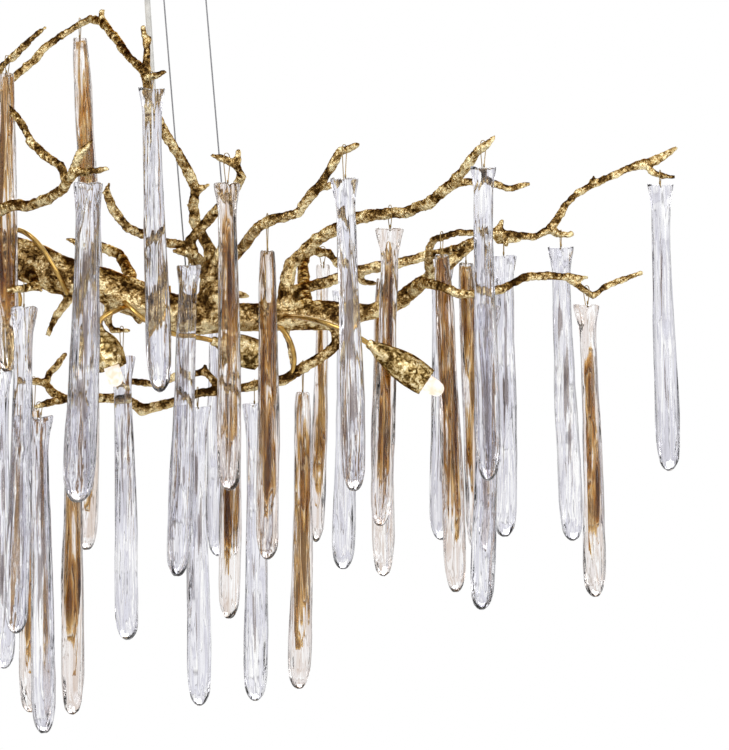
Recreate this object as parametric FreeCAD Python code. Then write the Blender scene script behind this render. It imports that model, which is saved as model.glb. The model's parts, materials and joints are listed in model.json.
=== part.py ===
import FreeCAD, Part
import math
import os

from FreeCAD import Vector

# Branch chandelier: a long cast brass bough hangs on four steel cables under a ceiling box. Twigs grow out
# of it, small lamps stand on brass conduits, and hand-drawn glass drops hang from the twigs on wire loops.
# Millimetres. Z is up. The origin is the middle of the ceiling box's top face, where it meets the ceiling.
# X runs along the bough. The left half is the right half turned half a turn about Z.

# ---------------------------------------------------------------- driving dimensions

# ceiling box
PLATE_LENGTH = 690.0
PLATE_WIDTH = 92.0
PLATE_THICK = 3.0
COVER_WALL = 1.5
COVER_DEPTH = 34.0
COVER_FIT = 0.5
COVER_CHAMFER = 6.0
CEILING_HOLE_RADIUS = 2.75
CEILING_HOLES_ALONG = 600.0
CEILING_HOLES_ACROSS = 60.0
SUPPLY_HOLE_RADIUS = 12.0
TAB_WIDTH = 16.0
TAB_DEPTH = 14.0
TAB_THICK = 2.0
TAB_ALONG = 240.0
SCREW_RADIUS = 2.0
SCREW_LENGTH = 7.0
SCREW_HEAD_RADIUS = 4.2
SCREW_HEAD_HEIGHT = 2.4
SCREW_FIT = 0.15
TERMINAL_LENGTH = 46.0
TERMINAL_WIDTH = 22.0
TERMINAL_HEIGHT = 16.0
TERMINAL_AT = -70.0

# suspension and supply
CABLE_RADIUS = 0.75
CABLE_FIT = 0.1
GRIPPER_RADIUS = 5.0
GRIPPER_FLANGE_RADIUS = 7.0
GRIPPER_FLANGE = 2.0
GRIPPER_BARREL = 14.0
GRIPPER_FIT = 0.2
ANCHOR_RADIUS = 3.2
ANCHOR_HEIGHT = 16.0
ANCHOR_SUNK = 6.0
ANCHOR_FIT = 0.15
FLEX_RADIUS = 3.0
FLEX_FIT = 0.15
GRIP_RADIUS = 7.0
GRIP_FLANGE_RADIUS = 9.0
GRIP_FLANGE = 2.5
BUSH_RADIUS = 5.4
BUSH_HEIGHT = 12.0
BUSH_SUNK = 6.0
# where each line leaves the ceiling box, and where it enters the bough: along and across
CABLES = [((262.0, 30.0), (293.0, 8.0)), ((304.0, 34.0), (336.0, 8.0))]
FLEX_LINE = ((247.0, 14.0), (271.0, 4.0))

# hanging loops
WIRE = 1.2
LOOP_GAP = 0.7
STEM_WIDTH = 1.8
STEM_DEPTH = 4.0
STEM_FIT = 0.2
DROP_SIDES = 6
NECK_DEPTH = 27.0
SHOULDER = 34.0
TOE = 8.0

# lamps
CONDUIT_RADIUS = 2.6
CONDUIT_FIT = 0.15
SOCKET_DEPTH = 7.0
CUP_SIDES = 10
CUP_WALL = 1.5
CUP_NECK_RADIUS = 4.4
CUP_FLOOR = 17.0
WIRE_HOLE_RADIUS = 1.8
HOLDER_RADIUS = 7.6
HOLDER_LENGTH = 16.0
PIN_SLOT_LENGTH = 9.5
PIN_SLOT_WIDTH = 4.6
PIN_SLOT_DEPTH = 6.0
PIN_FIT = 0.25
BULB_RADIUS = 8.0
BULB_NECK_RADIUS = 6.2
BULB_SHOWS = 19.0

TRUNK_SIDES = 8
LIMB_SIDES = 5

# ---------------------------------------------------------------- the bough and its twigs
# Each limb is a row of points along its middle: along, across, up and the radius there.

TRUNK = [
    (0, 0, -338, 26), (45, 2, -343, 25), (105, 4, -354, 23), (135, 1, -362, 22),
    (165, -2, -375, 21), (205, -5, -384, 18), (245, -3, -400, 20), (275, 0, -412, 20),
    (305, 1, -415, 21), (345, 0, -417, 15), (390, 2, -417, 14.5), (435, 5, -415, 16),
    (450, 5, -414, 12), (475, 3, -412, 8.5), (495, 0, -406, 9), (507, -2, -399, 9),
    (520, -3, -388, 8), (535, -2, -377, 6.5), (550, 0, -367, 6), (565, 2, -354, 5.5),
    (580, 3, -342, 5), (600, 3, -332, 5), (620, 1, -335, 4.5), (639, -1, -337, 4.2),
    (653, 0, -330, 4.5), (663, 2, -318, 4.5), (671, 2, -304, 4.2), (681, 0, -294, 4),
    (695, -2, -286, 4), (712, -3, -278, 4), (735, -3, -268, 4.2), (750, -3, -264, 5.5),
    (760, -2, -261, 5.5), (772, 0, -254, 4), (782, 2, -247, 2),
]
BURL = [(321, 0, -414, 20), (321, 0, -392, 18), (319, 0, -374, 14), (317, 0, -362, 8)]
TRUNK_TWIGS = [
    [(749, -3, -264, 4.2), (757, -10, -273, 4), (768, -12, -277, 3.6), (780, -12, -278, 2.8)],
    [(695, -2, -286, 3.5), (697, -3, -281, 3), (699, -3, -274, 1.2)],
    [(601, 3, -332, 4), (607, 2, -323, 3.5), (608, 2, -319, 2)],
    [(605, 3, -332, 4), (611, 2, -340, 3.6), (612, 2, -347, 2.4)],
    [(322, -4, -370, 8), (325, -9, -354, 6), (326, -11, -343, 2.5)],
    [(241, -4, -404, 5), (243, -5, -418, 4.5), (244, -5, -425, 2.5)],
    [(655, 0, -328, 4.4), (662, 4, -334, 4), (672, 6, -335, 3.8), (679, 7, -333, 2.8)],
    [(215, -2, -400, 6), (213, 0, -421, 4.8), (217, 2, -430, 4.4), (236, 4, -431, 2)],
    [(388, 10, -422, 5), (391, 14, -436, 4), (396, 16, -450, 3.4), (397, 16, -467, 2.8)],
    [(178, -2, -392, 6), (170, 2, -404, 5), (160, 6, -417, 4.4), (152, 8, -436, 3.2)],
]
TIP_TWIG = TRUNK_TWIGS[0]
ELBOW_TWIG = TRUNK_TWIGS[6]
UNDER_TWIG = TRUNK_TWIGS[7]

# the arch over the top, and what grows from its foot
ARCH = [
    (318, 4, -370, 8), (315, 8, -350, 7), (307, 10, -335, 6.5), (300, 6, -322, 6.5),
    (298, -2, -305, 6), (301, -10, -291, 6), (296, -18, -276, 6), (287, -30, -259, 6),
    (276, -42, -243, 6), (266, -54, -224, 6), (257, -64, -206, 5.5), (257, -76, -187, 5.5),
    (252, -70, -176, 5.2), (238, -48, -162, 5), (221, -10, -139, 5), (203, 36, -117, 5),
    (189, 65, -112, 4.6), (172, 75, -120, 4.5), (157, 80, -129, 4.5), (142, 78, -140, 4.5),
    (133, 70, -153, 4.5), (119, 60, -166, 4.5), (104, 50, -182, 4.6), (88, 46, -194, 4.6),
    (70, 68, -191, 4.5), (48, 80, -178, 4), (35, 85, -167, 2),
]
ARCH_CROWN = [(257, -75, -185, 5), (256, -74, -171, 4.6), (257, -72, -157, 4.4), (252, -69, -133, 2.8)]
ARCH_KNOB = [(256, -71, -154, 4), (261, -73, -143, 2)]
ARCH_SPUR = [(203, 34, -118, 4.5), (205, 28, -107, 2.8)]
ARCH_THORN = [(299, -8, -294, 5), (305, -12, -290, 4), (316, -14, -285, 1.5)]
ARCH_HOOK = [(256, -74, -187, 5), (257, -91, -186, 4.2), (268, -98, -184, 4), (277, -101, -180, 2.8)]
ARCH_ARM = [
    (88, 46, -194, 4.6), (98, -6, -183, 4.6), (111, -47, -171, 4.5), (124, -53, -162, 4.4),
    (136, -64, -152, 4), (150, -74, -141, 3.6), (159, -80, -135, 1.8),
]
FORK = [
    (311, -8, -374, 8), (300, -15, -359, 7), (296, -18, -341, 6.5), (310, -22, -326, 6),
    (329, -38, -306, 6), (343, -53, -291, 5.5), (349, -64, -280, 5.5), (344, -75, -269, 5.5),
    (330, -75, -263, 4.5), (318, -74, -260, 1.8),
]
FORK_TIP = [(342, -72, -271, 5), (346, -75, -263, 4), (346, -77, -255, 2.8)]
REACH = [
    (300, -15, -359, 6.5), (291, -24, -347, 6), (270, -40, -343, 5.5), (248, -58, -335, 5.2),
    (237, -68, -331, 5), (224, -80, -313, 5), (218, -90, -297, 4.5), (222, -94, -288, 1.8),
]
BROW = [(306, -12, -366, 6.5), (306, -34, -361, 5.5), (302, -51, -356, 5), (289, -58, -354, 4.5),
        (280, -60, -353, 2)]

# the twig that comes forward at the middle
FRONT = [
    (55, 0, -346, 11), (75, -30, -335, 9), (93, -57, -320, 7), (129, -100, -310, 6.5),
    (146, -118, -312, 6), (167, -146, -307, 6), (185, -176, -298, 5.5), (195, -198, -286, 5.5),
    (203, -212, -268, 4.5), (217, -222, -255, 1.8),
]
FRONT_TIP = [(195, -198, -286, 5), (203, -206, -285, 4.5), (220, -216, -284, 4), (230, -222, -282, 2.8)]
FRONT_ARM = [
    (188, -188, -291, 5), (182, -180, -277, 5), (169, -168, -269, 5), (152, -150, -254, 4.8),
    (143, -136, -238, 4.5), (132, -122, -223, 4), (125, -114, -212, 1.8),
]
FRONT_SPUR = [(93, -57, -320, 7), (91, -98, -311, 5.5), (84, -132, -306, 5), (64, -126, -304, 4.4),
              (50, -118, -299, 2.8)]
PRONG = [(128, -6, -368, 8), (143, -40, -380, 6), (147, -70, -388, 5), (134, -84, -391, 4.4),
         (121, -90, -392, 2.8)]
PRONG_TIP = [(147, -69, -388, 4.5), (155, -80, -393, 2)]

# the long twigs on the right
BOUGH = [
    (390, 0, -406, 10), (391, 4, -390, 8.5), (392, 8, -377, 8), (396, 10, -363, 7.5),
    (408, 8, -353, 7.5), (420, 2, -341, 7), (440, -12, -330, 7), (462, -32, -319, 7),
    (488, -50, -316, 6.5), (510, -56, -315, 6.5), (533, -80, -307, 6.5), (555, -104, -289, 6),
    (568, -124, -274, 5.5), (578, -137, -260, 5), (588, -143, -253, 4), (595, -147, -246, 1.8),
]
BOUGH_PRONG = [(554, -103, -290, 5.5), (573, -98, -287, 4.6), (593, -90, -288, 4.5), (611, -84, -294, 4.2),
               (631, -80, -288, 2.8)]
CLIMBER = [
    (327, -8, -372, 9), (338, -24, -358, 7.5), (349, -40, -349, 6.5), (360, -56, -336, 6),
    (367, -70, -329, 6), (382, -76, -322, 6), (405, -92, -318, 5.5), (409, -97, -311, 5.5),
    (417, -105, -301, 5.5), (427, -113, -291, 5.5), (437, -124, -276, 5), (445, -132, -261, 4.6),
    (458, -142, -257, 4), (465, -148, -254, 1.8),
]
CLIMBER_PRONG = [(425, -111, -293, 4.5), (435, -104, -292, 4.2), (448, -97, -289, 4), (461, -92, -288, 2.8)]
BOW = [
    (535, -2, -377, 5.5), (533, -22, -363, 5), (534, -34, -349, 4.6), (538, -39, -341, 4.5),
    (551, -42, -337, 4.5), (563, -39, -334, 4.2), (577, -25, -334, 4.2), (590, -2, -336, 4),
]
RIDER = [
    (515, -3, -393, 7.5), (521, -24, -388, 6), (529, -46, -384, 5.5), (544, -66, -388, 5.5),
    (562, -80, -396, 5), (578, -84, -396, 5), (604, -82, -391, 5), (626, -62, -379, 5),
    (650, -48, -377, 4.6), (673, -38, -378, 4.5), (691, -34, -379, 1.8),
]
RIDER_FORK = [(669, -39, -378, 4.5), (683, -33, -388, 4.2), (696, -28, -397, 4.2), (707, -25, -388, 3.8),
              (726, -22, -380, 3.5), (747, -20, -373, 2.6)]

# the twigs behind
BACKLINK = [
    (390, 6, -408, 9), (397, 28, -391, 7), (417, 44, -385, 6.5), (440, 54, -377, 6.5),
    (463, 57, -369, 6.5), (480, 56, -365, 6.2), (502, 53, -362, 6), (520, 52, -357, 5.6),
    (534, 54, -353, 5.5), (552, 54, -350, 5.2), (566, 38, -346, 5), (577, 20, -341, 4.6),
    (589, 4, -337, 4.2),
]
BACKLINK_HOOK = [(461, 57, -369, 5), (467, 60, -380, 4), (481, 62, -382, 2.8)]
BACK_TWIG = [(599, 4, -333, 4.5), (604, 30, -337, 4.2), (606, 50, -339, 4.2), (620, 54, -338, 4),
             (630, 56, -335, 2.8)]
BACK_SWEEP = [
    (410, 6, -406, 9), (408, 46, -384, 7), (406, 92, -361, 6.5), (408, 142, -348, 6),
    (415, 176, -344, 5.5), (432, 194, -346, 5), (440, 202, -356, 4.6), (457, 210, -367, 4.2),
    (470, 213, -363, 1.8),
]
BACK_HORN = [(319, 10, -374, 9), (314, 52, -360, 6.5), (308, 102, -353, 5.5), (327, 112, -352, 4.6),
             (339, 115, -353, 2)]
BACK_STUB = [(342, 6, -414, 9), (336, 34, -402, 6.5), (328, 56, -395, 5.2), (343, 63, -393, 4.5),
             (352, 66, -395, 2)]
BACK_ARM = [(237, 4, -398, 10), (231, 56, -372, 7), (217, 102, -351, 6.2), (195, 122, -341, 5.6),
            (172, 130, -338, 5), (159, 134, -333, 2)]

# the twigs below
LOWER = [
    (442, 6, -418, 10), (443, 8, -434, 7.5), (442, 9, -443, 6.5), (433, 10, -453, 6),
    (416, 12, -463, 6), (402, 14, -472, 6), (388, 16, -480, 6), (366, 17, -484, 5.8),
    (348, 17, -488, 5.6), (326, 17, -491, 5.6), (304, 16, -493, 5.5), (283, 14, -500, 5.5),
    (265, 17, -506, 5.5), (245, 23, -510, 7), (230, 26, -499, 5.5), (205, 16, -498, 5.5),
    (187, -4, -498, 5.2), (171, -27, -499, 5), (156, -44, -503, 4.6), (145, -53, -507, 2),
]
LOWER_THORN = [
    (326, 18, -491, 5), (310, 24, -472, 4.6), (283, 30, -476, 4.6), (256, 32, -484, 4.6),
    (233, 30, -481, 4.2), (217, 28, -492, 1.8),
]
LOWER_SPUR = [(310, 24, -473, 4.5), (308, 25, -464, 2.8)]
LOWER_TWIG = [(172, -26, -499, 4.8), (158, -8, -492, 4.6), (150, 10, -484, 4.4), (152, 22, -474, 4.2),
              (160, 30, -464, 4), (168, 34, -453, 2.8)]
LOWER_HOOK = [(150, 10, -484, 4.3), (144, 14, -482, 4.2), (130, 20, -481, 4), (121, 24, -484, 2.8)]
UNDER = [
    (27, 2, -362, 12), (29, 14, -396, 8), (40, 26, -426, 6.5), (55, 35, -448, 5.6),
    (76, 40, -458, 5), (104, 42, -460, 4.6), (116, 42, -456, 1.8),
]

BRANCH_GROUPS = {
    "crown_branches": [ARCH, ARCH_CROWN, ARCH_KNOB, ARCH_SPUR, ARCH_THORN, ARCH_HOOK, ARCH_ARM, FORK,
                       FORK_TIP, REACH, BROW],
    "front_branches": [FRONT, FRONT_TIP, FRONT_ARM, FRONT_SPUR, PRONG, PRONG_TIP],
    "outer_branches": [BOUGH, BOUGH_PRONG, CLIMBER, CLIMBER_PRONG, BOW, RIDER, RIDER_FORK],
    "back_and_lower_branches": [BACKLINK, BACKLINK_HOOK, BACK_TWIG, BACK_SWEEP, BACK_HORN, BACK_STUB,
                                BACK_ARM, LOWER, LOWER_THORN, LOWER_SPUR, LOWER_TWIG, LOWER_HOOK, UNDER],
}

# ---------------------------------------------------------------- the glass drops
# Name of the swinging set, then each drop in it: the limb and the run it hangs from, how far along that run,
# its wire from the middle of the limb to the glass, the glass's length, its lean, and its top and belly radii.
CLEAR = (12.5, 9.0, 12.8)
AMBER = (6.8, 8.6, 12.2)
FLARED = (12.0, 8.2, 11.5)
WIDE = (15.0, 10.5, 16.0)
SLIM = (7.5, 6.0, 8.8)
DROPS = {
    "arch": [(ARCH_ARM, 2, 0.5, 11, 294, 0, AMBER), (ARCH_HOOK, 1, 0.5, 11, 296, 9, CLEAR)],
    "crown": [(ARCH, 16, 0.6, 14, 308, 14, AMBER), (ARCH, 24, 0.5, 12, 297, -5, CLEAR)],
    "front": [(FRONT_TIP, 1, 0.5, 9, 301, -13, WIDE), (FRONT_SPUR, 2, 0.5, 10, 300, 4, CLEAR)],
    "prong": [(PRONG, 2, 0.75, 18, 319, -8, CLEAR), (BROW, 2, 0.4, 9, 307, -12, CLEAR)],
    "lower_left": [(LOWER, 18, 0.62, 9, 314, 6, CLEAR), (LOWER, 16, 0.35, 15, 300, -4, AMBER)],
    "fork": [(FORK, 7, 0.65, 22, 301, 3, CLEAR), (CLIMBER, 11, 0.4, 26, 301, 10, CLEAR)],
    "climber": [(CLIMBER, 4, 0.5, 28, 302, 0, AMBER), (BOUGH, 8, 0.3, 13, 294, -10, FLARED)],
    "lower_right": [(LOWER, 10, 0.1, 12, 302, 2, CLEAR), (LOWER, 7, 0.4, 18, 299, 1, CLEAR),
                    (LOWER, 4, 0.6, 24, 298, -4, AMBER)],
    "sweep": [(BACK_SWEEP, 4, 0.6, 13, 293, -9, SLIM), (BACK_SWEEP, 6, 0.5, 23, 297, -2, CLEAR)],
    "backlink": [(BACKLINK, 5, 0.4, 13, 303, 0, AMBER), (BACKLINK, 8, 0.7, 12, 280, 1, CLEAR),
                 (BACK_TWIG, 2, 0.35, 14, 287, 1, CLEAR)],
    "bow": [(BOW, 3, 0.6, 18, 333, 14, AMBER)],
    "bough": [(BOUGH, 13, 0.5, 19, 301, 6, CLEAR)],
    "trunk": [(TRUNK, 19, 0.4, 14, 288, 12, AMBER), (ELBOW_TWIG, 1, 0.4, 12, 295, 12, CLEAR)],
    "rider": [(RIDER, 5, 0.45, 14, 296, -7, CLEAR), (RIDER_FORK, 1, 0.5, 12, 291, 10, FLARED)],
    "tip": [(TIP_TWIG, 1, 0.65, 9, 286, 9, CLEAR)],
    "horn": [(BACK_HORN, 2, 0.6, 14, 296, -1, CLEAR), (BACK_ARM, 3, 0.4, 12, 305, -5, AMBER)],
    "stub": [(BACK_STUB, 2, 0.4, 14, 315, -3, AMBER), (UNDER_TWIG, 2, 0.5, 25, 285, 6, CLEAR)],
    "under": [(UNDER, 4, 0.85, 11, 302, 5, CLEAR), (UNDER, 3, 0.4, 13, 305, -4, CLEAR)],
    "hook": [(LOWER_HOOK, 1, 0.5, 26, 307, -4, AMBER)],
}

# ---------------------------------------------------------------- the lamps
# The conduit's route, whose last run points the cup, then the cup's length and its mouth's radius.
LAMPS = [
    ([(234, -12, -406), (226, -34, -410), (214, -44, -416), (206, -47, -424), (209, -48, -433)], 44, 17.0),
    ([(226, -12, -398), (234, -26, -405), (250, -32, -420), (276, -33, -434), (297, -32, -437),
      (313, -28, -439), (325, -24, -443)], 50, 16.5),
    ([(389, -8, -416), (400, -36, -417), (418, -66, -420), (440, -82, -427), (461, -86, -436),
      (479, -86, -448)], 68, 15.5),
    ([(112, -6, -366), (121, -27, -386), (128, -23, -397), (125, -12, -410), (115, -6, -427)], 48, 16.0),
]
SPARE_CONDUIT = [(112, -6, -336), (121, -18, -329), (135, -28, -334), (148, -31, -346), (158, -30, -362),
                 (168, -26, -379), (173, -12, -394)]


# ---------------------------------------------------------------- working geometry

def point(row):
    return Vector(row[0], row[1], row[2])


def section(centre, radius, normal, sides, across):
    """A regular outline square to normal, with the middle of one side towards across."""
    normal = Vector(normal).normalize()
    across = (across - normal * across.dot(normal)).normalize()
    other = normal.cross(across)
    corners = []
    for k in range(sides):
        turn = 2 * math.pi * (k + 0.5) / sides
        corners.append(centre + across * (radius * math.cos(turn)) + other * (radius * math.sin(turn)))
    return Part.makePolygon(corners + [corners[0]])


def steady_side(normals):
    """The axis that stays furthest from all the normals, so that sections laid by it don't twist."""
    axes = [Vector(0, 1, 0), Vector(0, 0, 1), Vector(1, 0, 0)]
    return min(axes, key=lambda axis: round(max(abs(axis.dot(normal)) for normal in normals), 2))


def flat_sided(loft):
    """The loft with its ruled patches laid flat, each as two flats where its corners don't lie in one plane."""
    flats = []
    for patch in loft.Faces:
        corners = [v.Point for v in patch.OuterWire.OrderedVertexes]
        rows = [corners]
        if len(corners) == 4:
            level = (corners[1] - corners[0]).cross(corners[2] - corners[0])
            if abs(level.normalize().dot(corners[3] - corners[0])) > 1e-7:
                rows = [[corners[0], corners[1], corners[2]], [corners[0], corners[2], corners[3]]]
        for row in rows:
            flats.append(Part.Face(Part.makePolygon(row + [row[0]])))
    solid = Part.Solid(Part.Shell(flats))
    if solid.Volume < 0:
        solid.reverse()
    return solid


def ways_past(places):
    """The way past each place, from the place before it to the one after."""
    last = len(places) - 1
    return [(places[min(i + 1, last)] - places[max(i - 1, 0)]).normalize() for i in range(last + 1)]


def route_side(route):
    """The side that the sections of a limb or conduit are laid by."""
    return steady_side(ways_past([point(row) for row in route]))


def limb(rows, sides=LIMB_SIDES):
    """A cast limb through its row of points, each section square to the way past it."""
    places = [point(row) for row in rows]
    across = route_side(rows)
    sections = [section(at, row[3], way, sides, across) for at, row, way in zip(places, rows, ways_past(places))]
    return flat_sided(Part.makeLoft(sections, True, True))


def tapered(rows, axis, base, sides, across=None):
    """A turned form along axis from base: rows of distance and radius."""
    axis = Vector(axis).normalize()
    across = across or steady_side([axis])
    sections = [section(base + axis * away, radius, axis, sides, across) for away, radius in rows]
    return flat_sided(Part.makeLoft(sections, True, True))


def bar(radius, start, end):
    """A round bar from start to end."""
    way = end - start
    return Part.makeCylinder(radius, way.Length, start, way)


def turned_half(shape):
    """A copy for the other half of the chandelier."""
    copy = shape.copy()
    copy.rotate(Vector(0, 0, 0), Vector(0, 0, 1), 180)
    return copy


def both_halves(shapes):
    return shapes + [turned_half(s) for s in shapes]


def fused(shapes):
    if len(shapes) == 1:
        return shapes[0]
    return shapes[0].multiFuse(shapes[1:]).removeSplitter()


def solids_over(shape, least):
    return [s for s in shape.Solids if s.Volume > least]


# ---------------------------------------------------------------- trunk and branches

CRUMB = 120.0  # a cut can leave a crumb of a limb's root on the far side of the bough; crumbs are dropped


def run_socket(route, radius, depth):
    """The hole that holds the start of a conduit."""
    start = point(route[0])
    way = (point(route[1]) - start).normalize()
    return tapered([(0, radius), (depth, radius)], way, start, LIMB_SIDES, route_side(route))


def line_hole(line, radius, sunk):
    """The round hole in the bough for the foot of a cable or the flex, and the point where its floor is."""
    top = Vector(line[0][0], line[0][1], -COVER_DEPTH)
    foot = Vector(line[1][0], line[1][1], bough_top(line[1][0]) - sunk)
    return Part.makeCylinder(radius, 4 * sunk, foot, top - foot), foot


def bough_top(along):
    """The height of the bough's upper side at a place along it."""
    for a, b in zip(TRUNK, TRUNK[1:]):
        if a[0] <= along <= b[0]:
            share = (along - a[0]) / (b[0] - a[0])
            level = a[2] + share * (b[2] - a[2]) + (a[3] + share * (b[3] - a[3])) * math.cos(
                math.pi / TRUNK_SIDES)
            break
    for a, b in zip(BURL, BURL[1:]):
        if abs(along - a[0]) < b[3]:
            level = max(level, b[2])
    return level


def make_trunk():
    left = [(-x, -y, z, r) for x, y, z, r in reversed(TRUNK[1:])]
    bough = limb(left + TRUNK, TRUNK_SIDES)
    extras = [limb(BURL, TRUNK_SIDES)] + [limb(rows) for rows in TRUNK_TWIGS]
    bough = fused([bough] + both_halves(extras))
    holes = []
    for route, _, _ in LAMPS:
        holes.append(run_socket(route, CONDUIT_RADIUS + CONDUIT_FIT, 30))
    holes.append(run_socket(SPARE_CONDUIT, CONDUIT_RADIUS + CONDUIT_FIT, 22))
    holes.append(run_socket(SPARE_CONDUIT[::-1], CONDUIT_RADIUS + CONDUIT_FIT, 22))
    for line in CABLES:
        holes.append(line_hole(line, ANCHOR_RADIUS + ANCHOR_FIT, ANCHOR_SUNK)[0])
    holes = both_halves(holes)
    holes.append(line_hole(FLEX_LINE, BUSH_RADIUS + ANCHOR_FIT, BUSH_SUNK)[0])
    return bough.cut(holes)


def make_branches(trunk):
    nodes = {}
    earlier = [trunk]
    for name, limbs in BRANCH_GROUPS.items():
        grown = fused([limb(rows) for rows in limbs])
        for other in earlier:
            grown = grown.cut(other)
        pieces = solids_over(grown, CRUMB)
        nodes[name + "_right"] = Part.makeCompound(pieces)
        nodes[name + "_left"] = turned_half(nodes[name + "_right"])
        earlier.append(nodes[name + "_right"])
    return nodes


# ---------------------------------------------------------------- glass drops on their wire loops

def hanging_place(limb_rows, run, share):
    """The point on the limb's middle, the limb's radius and its direction there."""
    a, b = limb_rows[run], limb_rows[run + 1]
    middle = point(a) + (point(b) - point(a)) * share
    radius = a[3] + (b[3] - a[3]) * share
    return middle, radius, (point(b) - point(a)).normalize()


def swing_axis(drops):
    """Where a set of drops swings about: through the first and last hanging points, or along the limb."""
    first = hanging_place(*drops[0][:3])
    if len(drops) == 1:
        axis = Vector(first[2].x, first[2].y, 0)
        middle = first[0]
    else:
        last = hanging_place(*drops[-1][:3])
        axis = last[0] - first[0]
        middle = (first[0] + last[0]) * 0.5
    if axis.x < 0:
        axis = -axis
    return middle, axis.normalize()


def drop_and_loop(drop, level_axis):
    """One glass drop with the wire loop that holds it, the loop square to level_axis."""
    limb_rows, run, share, wire, length, lean, radii = drop
    place, radius, way = hanging_place(limb_rows, run, share)
    cosine = abs(way.dot(level_axis))
    reach = radius / cosine + WIRE / 2 * math.tan(math.acos(cosine)) + LOOP_GAP
    wire = max(wire, 1.5 * reach + 1.6 * WIRE)
    glass_top = place - Vector(0, 0, wire)
    mouth, neck, belly = radii
    rows = [(0, mouth), (NECK_DEPTH, neck), (length - SHOULDER, belly), (length - TOE, belly * 0.8),
            (length, belly * 0.36)]
    sections = []
    for down, ring in rows:
        middle = glass_top - Vector(0, 0, down) + level_axis * (lean * down / length)
        sections.append(section(middle, ring, Vector(0, 0, 1), DROP_SIDES, Vector(0, 1, 0)))
    glass = flat_sided(Part.makeLoft(sections, True, True))
    side = Vector(0, 0, 1).cross(level_axis)
    recess = box_on(glass_top - Vector(0, 0, STEM_DEPTH), side, level_axis, STEM_WIDTH + 2 * STEM_FIT,
                    WIRE + 2 * STEM_FIT, STEM_DEPTH + 1)
    glass = glass.cut(recess)
    half = 1.35 * reach
    low = wire - 1.6 * WIRE
    outer = WIRE * 1.4
    stem = STEM_WIDTH / 2
    bottom = wire + STEM_DEPTH
    outline = [(-half - outer, 0), (0, half + outer), (half + outer, 0), (stem, -low - WIRE), (stem, -bottom),
               (-stem, -bottom), (-stem, -low - WIRE)]
    opening = [(-half, 0), (0, half), (half, 0), (0, -low)]
    wires = []
    for rows in (outline, opening):
        corners = [place + side * a + Vector(0, 0, b) - level_axis * (WIRE / 2) for a, b in rows]
        wires.append(Part.makePolygon(corners + [corners[0]]))
    loop = Part.Face(wires).extrude(level_axis * WIRE)
    return [glass, loop]


def box_on(foot, side, depth, wide, thick, tall):
    """An upright box standing on foot, wide along side and thick along depth."""
    corners = []
    for a, b in ((-1, -1), (1, -1), (1, 1), (-1, 1)):
        corners.append(foot + side * (a * wide / 2) + depth * (b * thick / 2))
    return Part.Face(Part.makePolygon(corners + [corners[0]])).extrude(Vector(0, 0, tall))


def make_drops():
    nodes = {}
    for name, drops in DROPS.items():
        middle, axis = swing_axis(drops)
        level_axis = Vector(axis.x, axis.y, 0).normalize()
        solids = []
        for drop in drops:
            solids += drop_and_loop(drop, level_axis)
        nodes["drops_" + name + "_right"] = Part.makeCompound(solids)
        nodes["drops_" + name + "_left"] = turned_half(nodes["drops_" + name + "_right"])
    return nodes


# ---------------------------------------------------------------- lamps on their conduits

def make_conduits():
    tubes = []
    for route in [lamp[0] for lamp in LAMPS] + [SPARE_CONDUIT]:
        tubes.append(limb([(x, y, z, CONDUIT_RADIUS) for x, y, z in route]))
    return Part.makeCompound(both_halves(tubes))


def lamp_frame(route, length):
    """The cup's axis and the point where its neck begins: the conduit reaches SOCKET_DEPTH into it."""
    tip = point(route[-1])
    axis = (tip - point(route[-2])).normalize()
    return axis, tip - axis * SOCKET_DEPTH


def make_lamps():
    cups = []
    holders = []
    bulbs = []
    for route, length, mouth in LAMPS:
        axis, base = lamp_frame(route, length)
        outer = tapered([(0, CUP_NECK_RADIUS), (CUP_FLOOR * 0.5, mouth * 0.42), (length * 0.55, mouth * 0.9),
                         (length * 0.8, mouth), (length, mouth * 0.97)], axis, base, CUP_SIDES)
        floor_radius = HOLDER_RADIUS + CONDUIT_FIT
        inner = tapered([(CUP_FLOOR, floor_radius), (length * 0.6, mouth * 0.9 - CUP_WALL),
                         (length * 0.8, mouth - CUP_WALL), (length + 1, mouth * 0.97 - CUP_WALL)], axis, base,
                        CUP_SIDES)
        socket_radius = CONDUIT_RADIUS + CONDUIT_FIT
        socket = tapered([(-1, socket_radius), (SOCKET_DEPTH, socket_radius)], axis, base, LIMB_SIDES,
                         route_side(route))
        wire_hole = tapered([(SOCKET_DEPTH - 1, WIRE_HOLE_RADIUS), (CUP_FLOOR + 1, WIRE_HOLE_RADIUS)], axis,
                            base, LIMB_SIDES)
        cups.append(outer.cut([inner, socket, wire_hole]))
        seat = base + axis * CUP_FLOOR
        holder = tapered([(0, HOLDER_RADIUS), (HOLDER_LENGTH, HOLDER_RADIUS)], axis, seat, CUP_SIDES)
        slot = pin_block(seat + axis * (HOLDER_LENGTH - PIN_SLOT_DEPTH), axis, PIN_FIT, PIN_SLOT_DEPTH + 1)
        holders.append(holder.cut(slot))
        glass_from = HOLDER_LENGTH
        glass_to = length + BULB_SHOWS - CUP_FLOOR
        glass = tapered([(glass_from, BULB_NECK_RADIUS), (glass_from + 5, BULB_RADIUS),
                         (glass_to - 5, BULB_RADIUS), (glass_to, BULB_RADIUS * 0.55)], axis, seat, CUP_SIDES)
        block = pin_block(seat + axis * (HOLDER_LENGTH - PIN_SLOT_DEPTH), axis, 0, PIN_SLOT_DEPTH)
        bulbs.append(glass.fuse(block).removeSplitter())
    return {
        "lamp_cups": Part.makeCompound(both_halves(cups)),
        "lampholders": Part.makeCompound(both_halves(holders)),
        "bulbs": Part.makeCompound(both_halves(bulbs)),
    }


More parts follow.
